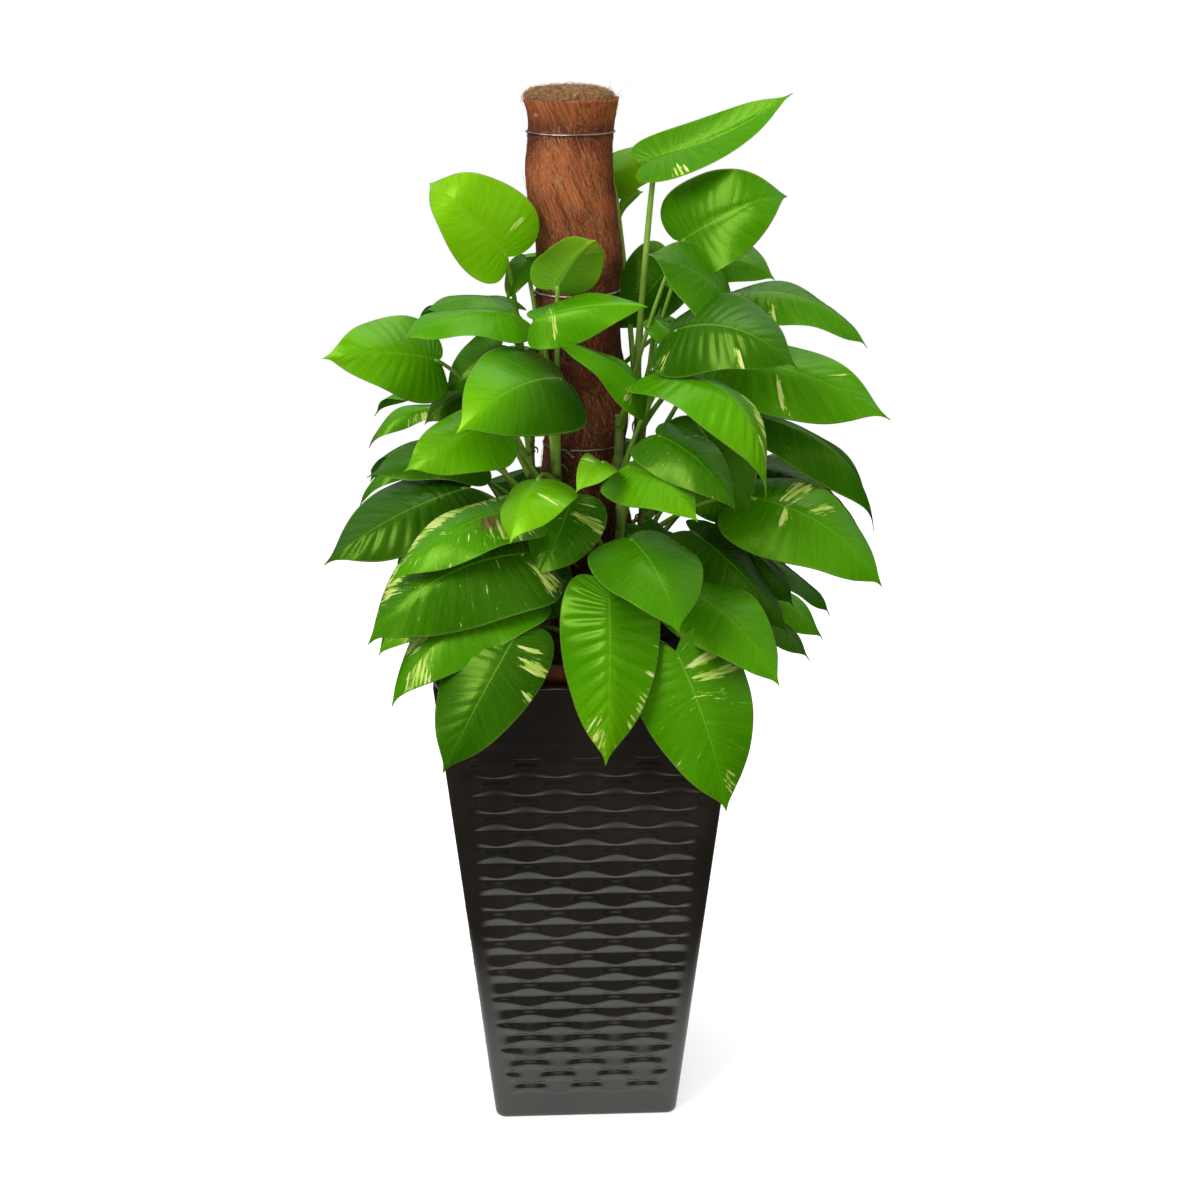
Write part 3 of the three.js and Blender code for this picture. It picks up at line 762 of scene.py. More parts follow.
def makeTies():
    material = wireMaterial()
    for number, height in enumerate(pole["ties"]):
        ring, steps = [], 90
        start = math.radians(140 + 50 * number)
        for i in range(steps + 1):
            angle = start + 2 * math.pi * i / steps
            sag = 0.8 * math.sin(angle + number)
            radius = max(wrapRadius(height, angle), pole["neck"]) + 0.7
            ring.append(Vector(poleSpot(radius, angle, height + sag)) * mm)
        parts = [tubePath(ring, [pole["wireRadius"] * mm] * len(ring), 8)]
        base = Vector(poleSpot(pole["neck"] + 1.0, start, height)) * mm
        outward = Vector((math.cos(start), math.sin(start), 0))
        side = Vector((-math.sin(start), math.cos(start), 0))
        for phase in (0.0, math.pi):
            tail = []
            for i in range(26):
                t = i / 25
                swing = phase + 4.2 * math.pi * t
                droop = Vector((0, 0, -6.0 * t * t))
                twist = (side * math.cos(swing) + Vector((0, 0, 1)) * math.sin(swing)) * 1.0
                tail.append(base + (outward * 3.5 * math.sin(2.4 * t) + side * 11 * t + droop + twist) * mm)
            parts.append(tubePath(tail, [pole["wireRadius"] * 0.9 * mm] * len(tail), 7))
        points, faces = joinParts(parts)
        makePiece(f"wireTie{number + 1}", points, faces, [material],
                  replaced=[f"wire_tie_{number + 1}"])


def dressStake():
    material, tree, shader = newMaterial("stakeWood", roughness=0.75)
    place = objectPlace(tree)
    grain = fibreLines(tree, place, 420.0, 9.0)
    base = rampNode(tree, grain[1], [(0.3, (0.3, 0.17, 0.08)), (0.7, (0.48, 0.31, 0.16))])
    paint(tree, shader, base, remap(tree, grain[0], 0.3, 0.7, 0.65, 0.85))
    bumpInto(tree, shader, grain[0], 0.0005, 0.4)
    stake = bpy.data.objects["support_stake"]
    stake.data.materials.clear()
    stake.data.materials.append(material)


wrap = makeWrap()
filling = makeFilling()
makeTies()
dressStake()
hair = strandShape("hairShape", 0.022, 0.0002, 0.0008)
tuft = strandShape("tuftShape", 0.014, 0.00028, 0.003)
grain = grainShape("grainShape", 3)
scatterOn("wrapHairs", wrap, hair, strandMaterial("looseFibre", (0.12, 0.035, 0.015), (0.55, 0.27, 0.11)),
          pole["hairDensity"], pole["seed"], (0.5, 1.3), 0.5, (-2.0, (0.05, 0, 1)), (0.12, 0.55))
scatterOn("crownTufts", filling, tuft, strandMaterial("cutCoir", (0.18, 0.075, 0.028), (0.68, 0.4, 0.18)),
          pole["tuftDensity"], pole["seed"] + 1, (0.5, 1.0), 1.063, (-2.0, (1, 0.3, 0)), (0.35, 3.1))
scatterOn("soilGrains", soilBody, grain, soilMaterial("peatGrains", (0.01, 0.006, 0.004), (0.075, 0.04, 0.022)),
          soil["grainDensity"], soil["seed"], (0.0008, 0.0028), 0.49, (0.3, (1, 0, 0)), (0.5, 3.1))
print("pole and scattered fibres done")


vines = {
    "front_left": {"heading": -118.0, "top": 735.0, "sway": 5.0},
    "front_right": {"heading": -58.0, "top": 765.0, "sway": -5.0},
    "right": {"heading": 8.0, "top": 800.0, "sway": 4.0},
    "back": {"heading": 95.0, "top": 780.0, "sway": -4.0},
    "left": {"heading": 178.0, "top": 770.0, "sway": 5.0},
}
vineShape = {"root": 450.0, "radius": 4.6, "standOff": 53.5, "knots": 46.0}


def vinePoint(vine, height):
    share = (height - vineShape["root"]) / (vine["top"] - vineShape["root"])
    heading = math.radians(vine["heading"] + vine["sway"] * math.sin(share * 5))
    reach = vineShape["standOff"] + 8 * (1 - share)
    return Vector((poleCentreX(height) + reach * math.cos(heading), reach * math.sin(heading), height))


def stemMaterial():
    material, tree, shader = newMaterial("vineBark", roughness=0.5)
    place = objectPlace(tree)
    fibres = fibreLines(tree, place, 700.0, 60.0)
    cloud = mottle(tree, place, 60.0, 1.8)
    base = rampNode(tree, cloud, [(0.2, (0.1, 0.2, 0.03)), (0.6, (0.2, 0.31, 0.06)), (0.9, (0.3, 0.26, 0.1))])
    paint(tree, shader, mixColour(tree, remap(tree, fibres[0], 0.5, 0.7, 0, 0.5), base, (0.32, 0.4, 0.13, 1)),
          remap(tree, fibres[0], 0.3, 0.7, 0.4, 0.65))
    bumpInto(tree, shader, fibres[0], 0.0006, 0.5)
    return material


def makeVines():
    material = stemMaterial()
    for name, vine in vines.items():
        path, radii = [], []
        steps = 150
        for i in range(steps):
            height = lerp(vineShape["root"], vine["top"], i / (steps - 1))
            knot = (height + 10 * len(name)) % vineShape["knots"]
            near = min(knot, vineShape["knots"] - knot)
            side = 1.2 * math.sin(height / vineShape["knots"] * math.pi)
            path.append((vinePoint(vine, height) + Vector((side, 0, 0))) * mm)
            tip = 1 - 0.45 * smoothStep(vine["top"] - 20, vine["top"], height)
            radii.append((vineShape["radius"] * tip + 1.3 * math.exp(-((near / 3.2) ** 2))) * mm)
        parts = [tubePath(path, radii, 14, up=Vector((0, 1, 0)))]
        source = random.Random(len(name) * 7 + 1)
        for i in range(9):
            height = lerp(vineShape["root"] + 66, vine["top"] - 20, i / 8)
            root = vinePoint(vine, height)
            inward = Vector((poleCentreX(height) - root.x, -root.y, 0)).normalized()
            side = Vector((-inward.y, inward.x, 0)) * source.uniform(-1, 1)
            reach = source.uniform(10, 20)
            spots = []
            for k in range(9):
                t = k / 8
                clasp = side * reach * t + inward * (3 + 3.5 * math.sin(2.2 * t)) + Vector((0, 0, -reach * 0.5 * t * t))
                spots.append((root + clasp) * mm)
            parts.append(tubePath(spots, [lerp(1.3, 0.5, k / 8) * mm for k in range(9)], 6))
        points, faces = joinParts(parts)
        makePiece("vine" + name.title().replace("_", ""), points, faces, [material],
                  replaced=["vine_" + name])


makeVines()
print("vines done")


# half of a blade's outline, as shares of its length: along the midrib, out from it, where its side vein leaves it
outline = np.array([
    (0.0, 0.0, 0.0), (-0.05, 0.05, 0.004), (-0.085, 0.14, 0.014), (-0.08, 0.235, 0.03), (-0.02, 0.312, 0.06),
    (0.08, 0.358, 0.105), (0.2, 0.373, 0.165), (0.33, 0.363, 0.235), (0.46, 0.334, 0.32), (0.59, 0.286, 0.415),
    (0.71, 0.228, 0.52), (0.81, 0.155, 0.635), (0.885, 0.08, 0.75), (0.942, 0.026, 0.87), (1.0, 0.0, 1.0)])
bladeMesh = {"stations": 98, "across": 23, "thickness": 0.55, "pleats": 17.0}


# a smooth curve through the outline's rows
def outlineAt(station):
    last = len(outline) - 1
    place = np.clip(station, 0, 1) * last
    i = np.minimum(np.floor(place).astype(int), last - 1)
    t = (place - i)[:, None]
    before, here = outline[np.maximum(i - 1, 0)], outline[i]
    there, after = outline[i + 1], outline[np.minimum(i + 2, last)]
    return 0.5 * (2 * here + (there - before) * t + (2 * before - 5 * here + 4 * there - after) * t * t
                  + (3 * here - before - 3 * there + after) * t ** 3)


def bladeAxes(leaf):
    base = Vector(leaf["base"])
    along = Vector(leaf["tip"]) - base
    length = along.length
    along.normalize()
    face = Vector(leaf["face"])
    face = (face - along * face.dot(along)).normalized()
    return base, along, face.cross(along), face, length


# the blade's upper face in its own axes, one unit long
def bladeSurface(leaf, station, across):
    rim = outlineAt(station)
    away = np.abs(across)
    side = np.sign(across)
    along = rim[:, 2] + (rim[:, 0] - rim[:, 2]) * away ** 1.15
    skew = 1 + leaf["skew"] * side
    out = rim[:, 1] * away * leaf["wide"] * skew
    phase = leaf["seed"] * 6.3
    ripple = np.abs(np.sin(np.pi * station * bladeMesh["pleats"])) ** 0.75
    pleat = (ripple - 0.6) * np.sin(np.pi * np.clip(away * 1.06, 0, 1)) ** 0.7 * smoothStep(0.03, 0.2, station)
    pleat = pleat * smoothStep(1.0, 0.8, station) * leaf["pleat"] * 0.0085
    wave = leaf["wave"] * 0.03 * away ** 3 * np.sin(station * 15 + phase + side * 1.3) * np.sin(np.pi * station)
    wave = wave + leaf["wave"] * 0.018 * away * np.sin(station * 7 + phase * 2 - side * 0.9) * np.sin(np.pi * station)
    groove = -0.01 * np.exp(-((out / 0.016) ** 2)) * np.sin(np.pi * np.clip(along * 1.1, 0, 1))
    folded = out * math.tan(math.radians(leaf["fold"]))
    rolled = -leaf["roll"] * out * out
    arched = 4 * leaf["arch"] * along * (1 - along) - leaf["arch"] * np.maximum(0, along - 0.75) ** 2
    curl = max(abs(leaf["curl"]), 1e-3)
    reach = (1 - leaf["curlFrom"]) / curl
    bentBy = np.maximum(0, along - leaf["curlFrom"]) / reach
    along = np.minimum(along, leaf["curlFrom"]) + reach * np.sin(bentBy)
    tip = reach * (1 - np.cos(bentBy)) * (1 if leaf["curl"] >= 0 else -1)
    turn = leaf["twist"] * (along - 0.3)
    height = folded + rolled + wave + groove + pleat
    y = out * np.cos(turn) * side - height * np.sin(turn)
    z = out * np.sin(turn) * side + height * np.cos(turn) + arched - tip
    y = y + leaf["bend"] * np.maximum(0, along) * (1 - along) * 4 * 0.1
    return np.stack([along, y, z], 1)


# how lime, how cream and how dry the blade is at each point
def leafPaint(leaf, station, across):
    along = outlineAt(station)[:, 2]
    tone = leaf["tone"][0] + (leaf["tone"][1] - leaf["tone"][0]) * along + leaf["sideTone"] * across
    cream = np.full(len(station), leaf["flecks"])
    for side, middle, width, start, end, strength in leaf["cream"]:
        near = np.exp(-(((station - middle) / width) ** 2))
        reach = smoothStep(start - 0.2, start + 0.15, across * side) * smoothStep(end + 0.2, end - 0.15, across * side)
        cream = np.maximum(cream, lerp(leaf["flecks"], 0.78 * strength, near * reach))
    dry = np.zeros(len(station))
    if leaf["dryTip"]:
        dry = smoothStep(1 - leaf["dryTip"], 1.0, along)
    for side, middle, width, start, end in leaf["dry"]:
        near = np.exp(-(((station - middle) / width) ** 2))
        reach = smoothStep(start - 0.1, start, across * side) * smoothStep(end + 0.1, end, across * side)
        dry = np.maximum(dry, near * reach)
    return np.clip(tone, 0, 1), cream, dry


def bladeParts(leaf):
    rows, columns = bladeMesh["stations"], bladeMesh["across"]
    stations = np.linspace(0, 1, rows)[1:-1]
    acrosses = np.sin(np.linspace(-1, 1, columns) * math.pi / 2 * 0.9) / math.sin(math.pi / 2 * 0.9)
    station = np.concatenate([[0.0], np.repeat(stations, columns), [1.0]])
    across = np.concatenate([[0.0], np.tile(acrosses, rows - 2), [0.0]])
    base, along, side, face, length = bladeAxes(leaf)
    local = bladeSurface(leaf, station, across)
    rim = outlineAt(station)
    out = rim[:, 1] * np.abs(across) * leaf["wide"]
    rib = 1.5 / length * np.exp(-((out * length / 1.9) ** 2)) * (1 - 0.75 * np.clip(rim[:, 2], 0, 1))
    fromVein = ((station * bladeMesh["pleats"]) % 1 + 0.5) % 1 - 0.5
    vein = 0.35 / length * np.exp(-(fromVein / 0.11) ** 2) * (1 - np.abs(across))
    thick = (bladeMesh["thickness"] / length + rib + vein) * (1 - np.abs(across) ** 6)
    under = local.copy()
    under[:, 2] -= thick
    axes = np.array([along, side, face]) * length
    upper = local @ axes + np.array(base)
    lower = under @ axes + np.array(base)
    count = len(station)
    edge = np.zeros(count, bool)
    edge[0] = edge[-1] = True
    edge[1:-1] = np.abs(across[1:-1]) > 0.999
    lowerIndex = np.zeros(count, int)
    lowerIndex[edge] = np.nonzero(edge)[0]
    lowerIndex[~edge] = count + np.arange((~edge).sum())
    points = np.concatenate([upper, lower[~edge]])
    kept = np.concatenate([np.arange(count), np.nonzero(~edge)[0]])
    top = gridFaces(rows - 2, columns, start=1, flip=True)
    top += [(0, 1 + j, 2 + j) for j in range(columns - 1)]
    last = 1 + (rows - 3) * columns
    top += [(last + j, count - 1, last + j + 1) for j in range(columns - 1)]
    bottom = [tuple(int(lowerIndex[k]) for k in reversed(corners)) for corners in top]
    return points, top + bottom, [0] * len(top) + [1] * len(bottom), station[kept], across[kept]


def stalkPath(leaf):
    base, along, _, face, length = bladeAxes(leaf)
    end = base + along * (0.05 * length) + face * (0.19 * leaf["arch"] * length - 1.2)
    root = vinePoint(vines[leaf["vine"]], leaf["at"])
    outward = Vector((end.x - root.x, end.y - root.y, 0)).normalized()
    start = root + outward * 2.0
    run = end - start
    rise = Vector((0, 0, 0.14 * run.length))
    first, second = start + run * 0.3 + rise, start + run * 0.75 + rise
    path = []
    for i in range(30):
        t = i / 29
        path.append(start * (1 - t) ** 3 + first * 3 * t * (1 - t) ** 2 + second * 3 * t * t * (1 - t)
                    + end * t ** 3)
    return path


# a shallow channel on top, its edges drawn out into a sheath near the stem
def stalkSection(angle, share):
    channel = 0.3 * math.exp(-(((angle - math.pi / 2) / 0.5) ** 2))
    edges = math.exp(-(((angle - 0.85) / 0.3) ** 2)) + math.exp(-(((angle - 2.29) / 0.3) ** 2))
    wings = 0.55 * max(0.0, 1 - share / 0.4) * edges
    return 1 - channel + wings


def stalkParts(leaf):
    path = stalkPath(leaf)
    radii = []
    for i in range(len(path)):
        t = i / (len(path) - 1)
        knuckle = 0.55 * math.exp(-(((t - 0.93) / 0.035) ** 2))
        radii.append((lerp(2.9, 1.9, t) + knuckle + 1.2 * math.exp(-((t / 0.05) ** 2))) * leaf["stalk"])
    return tubePath(path, radii, 14, shape=stalkSection)


# what both faces of a leaf share: its veins, its marbled tone and where it is cream
def leafBasics(name, roughness, specular, tint, marbling):
    material, tree, shader = newMaterial(name, roughness=roughness, Specular_IOR_Level=specular,
                                         Subsurface_Weight=0.1, Subsurface_Scale=0.002)
    shader["Specular Tint"].default_value = tint
    shader["Subsurface Radius"].default_value = (0.6, 1.0, 0.2)
    place = addNode(tree, "ShaderNodeUVMap", uv_map="leafMap").outputs[0]
    facts = {name: addNode(tree, "ShaderNodeAttribute", attribute_name=name).outputs["Fac"]
             for name in ("tone", "cream", "dry", "seed")}
    veins = useGroup(tree, leafVeins, {"Map": place, "Seed": facts["seed"]})
    centred = mathNode(tree, "SUBTRACT", veins["Streak"], 0.5)
    marbled = mathNode(tree, "MULTIPLY_ADD", centred, marbling, facts["tone"])
    creamShare = mathNode(tree, "ADD", facts["cream"], mathNode(tree, "MULTIPLY", centred, 2.4))
    return material, tree, shader, facts, veins, marbled, creamShare


def tinted(tree, share, strength, base, colour):
    return mixColour(tree, mathNode(tree, "MULTIPLY", share, strength), base, (*colour, 1))


def leafMaterial():
    basics = leafBasics("leafUpper", 0.3, 0.6, (0.5, 0.86, 0.1, 1), 0.17)
    material, tree, shader, facts, veins, marbled, creamShare = basics
    green = rampNode(tree, marbled, [(0.0, (0.012, 0.05, 0.0015)), (0.3, (0.03, 0.14, 0.001)),
                                     (0.55, (0.075, 0.31, 0.001)), (0.8, (0.19, 0.5, 0.002)),
                                     (1.0, (0.36, 0.68, 0.006))])
    creamMask = remap(tree, creamShare, 0.42, 0.6)
    fleckShare = mathNode(tree, "MULTIPLY_ADD", facts["cream"], 0.3, veins["Fleck"])
    fleckMask = remap(tree, fleckShare, 0.7, 0.76, 0.0, 0.8)
    pale = rampNode(tree, veins["Streak"], [(0.4, (0.3, 0.58, 0.03)), (0.56, (0.6, 0.74, 0.15)),
                                            (0.72, (0.84, 0.86, 0.42))])
    patched = mixColour(tree, mathNode(tree, "MAXIMUM", creamMask, fleckMask), green, pale)
    ribbed = tinted(tree, veins["Midrib"], 0.42, patched, (0.24, 0.52, 0.04))
    veined = tinted(tree, veins["Vein"], 0.11, ribbed, (0.17, 0.46, 0.03))
    edged = tinted(tree, veins["Margin"], 0.5, veined, (0.33, 0.55, 0.08))
    brown = rampNode(tree, veins["Streak"], [(0.3, (0.07, 0.03, 0.012)), (0.7, (0.28, 0.15, 0.06))])
    paint(tree, shader, mixColour(tree, facts["dry"], edged, brown),
          remap(tree, veins["Streak"], 0.3, 0.7, 0.25, 0.32))
    fine = mottle(tree, objectPlace(tree), 420.0, 1.2)
    height = mathNode(tree, "SUBTRACT", fine, mathNode(tree, "MULTIPLY", veins["Vein"], 0.3))
    bumpInto(tree, shader, height, 0.0003, 0.35)
    return material


def undersideMaterial():
    basics = leafBasics("leafUnder", 0.5, 0.3, (0.8, 1.0, 0.5, 1), 0.2)
    material, tree, shader, facts, veins, marbled, creamShare = basics
    green = rampNode(tree, marbled, [(0.0, (0.06, 0.2, 0.012)), (0.5, (0.15, 0.4, 0.015)), (1.0, (0.34, 0.6, 0.025))])
    patched = mixColour(tree, remap(tree, creamShare, 0.42, 0.56, 0.0, 0.8), green, (0.52, 0.74, 0.05, 1))
    ribbed = tinted(tree, veins["Midrib"], 0.8, patched, (0.34, 0.47, 0.14))
    veined = tinted(tree, veins["Vein"], 0.4, ribbed, (0.24, 0.4, 0.1))
    paint(tree, shader, mixColour(tree, facts["dry"], veined, (0.25, 0.14, 0.06, 1)),
          remap(tree, veins["Streak"], 0.3, 0.7, 0.45, 0.6))
    fine = mottle(tree, objectPlace(tree), 300.0, 1.2)
    bumpInto(tree, shader, mathNode(tree, "ADD", fine, veins["Vein"]), 0.0004, 0.4)
    return material


def stalkMaterial():
    material, tree, shader = newMaterial("leafStalk", roughness=0.42, Subsurface_Weight=0.08, Subsurface_Scale=0.002)
    place = objectPlace(tree)
    fibres = fibreLines(tree, place, 900.0, 90.0)
    cloud = mottle(tree, place, 26.0, 1.7)
    base = rampNode(tree, cloud, [(0.2, (0.17, 0.36, 0.025)), (0.7, (0.31, 0.53, 0.06)), (0.95, (0.46, 0.6, 0.17))])
    paint(tree, shader, mixColour(tree, remap(tree, fibres[0], 0.5, 0.72, 0, 0.4), base, (0.4, 0.52, 0.2, 1)),
          remap(tree, fibres[0], 0.3, 0.7, 0.35, 0.55))
    bumpInto(tree, shader, fibres[0], 0.0004, 0.35)
    return material


leafMaterials = [leafMaterial(), undersideMaterial(), stalkMaterial()]
plainLeaf = {
    "wide": 1.0, "fold": 0.0, "arch": 0.1, "skew": 0.0, "pleat": 0.14, "wave": 1.0, "roll": 0.55, "curl": 0.0,
    "curlFrom": 0.7, "twist": 0.0, "bend": 0.0, "stalk": 1.0, "tone": (0.5, 0.55), "sideTone": 0.0, "flecks": -0.2,
    "cream": [], "dry": [], "dryTip": 0.0,
}


def makeLeaf(name, changes, replaced=()):
    leaf = {**plainLeaf, **changes}
    leaf["seed"] = (sum(ord(letter) * (k + 3) for k, letter in enumerate(name)) % 97) / 97
    leaf["bend"] += 1.1 * (leaf["seed"] - 0.5)
    leaf["skew"] += 0.2 * ((leaf["seed"] * 7) % 1 - 0.5)
    points, faces, owners, station, across = bladeParts(leaf)
    stalkPoints, stalkFaces = stalkParts(leaf)
    tone, cream, dry = leafPaint(leaf, station, across)
    start = len(points)
    allPoints = np.concatenate([points, np.array([tuple(p) for p in stalkPoints])]) * mm
    allFaces = faces + [tuple(start + k for k in face) for face in stalkFaces]
    owners = owners + [2] * len(stalkFaces)
    data = makePiece(name, allPoints, allFaces, leafMaterials, owners, replaced=replaced).data
    padding = np.zeros(len(stalkPoints))
    seeds = np.full(len(station), leaf["seed"])
    for label, values in (("tone", tone), ("cream", cream), ("dry", dry), ("seed", seeds)):
        attribute = data.attributes.new(label, "FLOAT", "POINT")
        attribute.data.foreach_set("value", np.concatenate([values, padding]).astype(np.float32))
    corners = np.zeros(len(data.loops), np.int32)
    data.loops.foreach_get("vertex_index", corners)
    u = np.concatenate([station, padding])[corners]
    v = np.concatenate([(across + 1) / 2, padding])[corners]
    layer = data.uv_layers.new(name="leafMap")
    layer.data.foreach_set("uv", np.stack([u, v], 1).astype(np.float32).ravel())


# vine, height it leaves it at, blade's base and tip, way it faces, width, fold in degrees, arch, tone at base and tip
def leafRow(vine, at, base, tip, face, wide, fold, arch, tone, **more):
    return dict(vine=vine, at=at, base=base, tip=tip, face=face, wide=wide, fold=fold, arch=arch, tone=tone, **more)


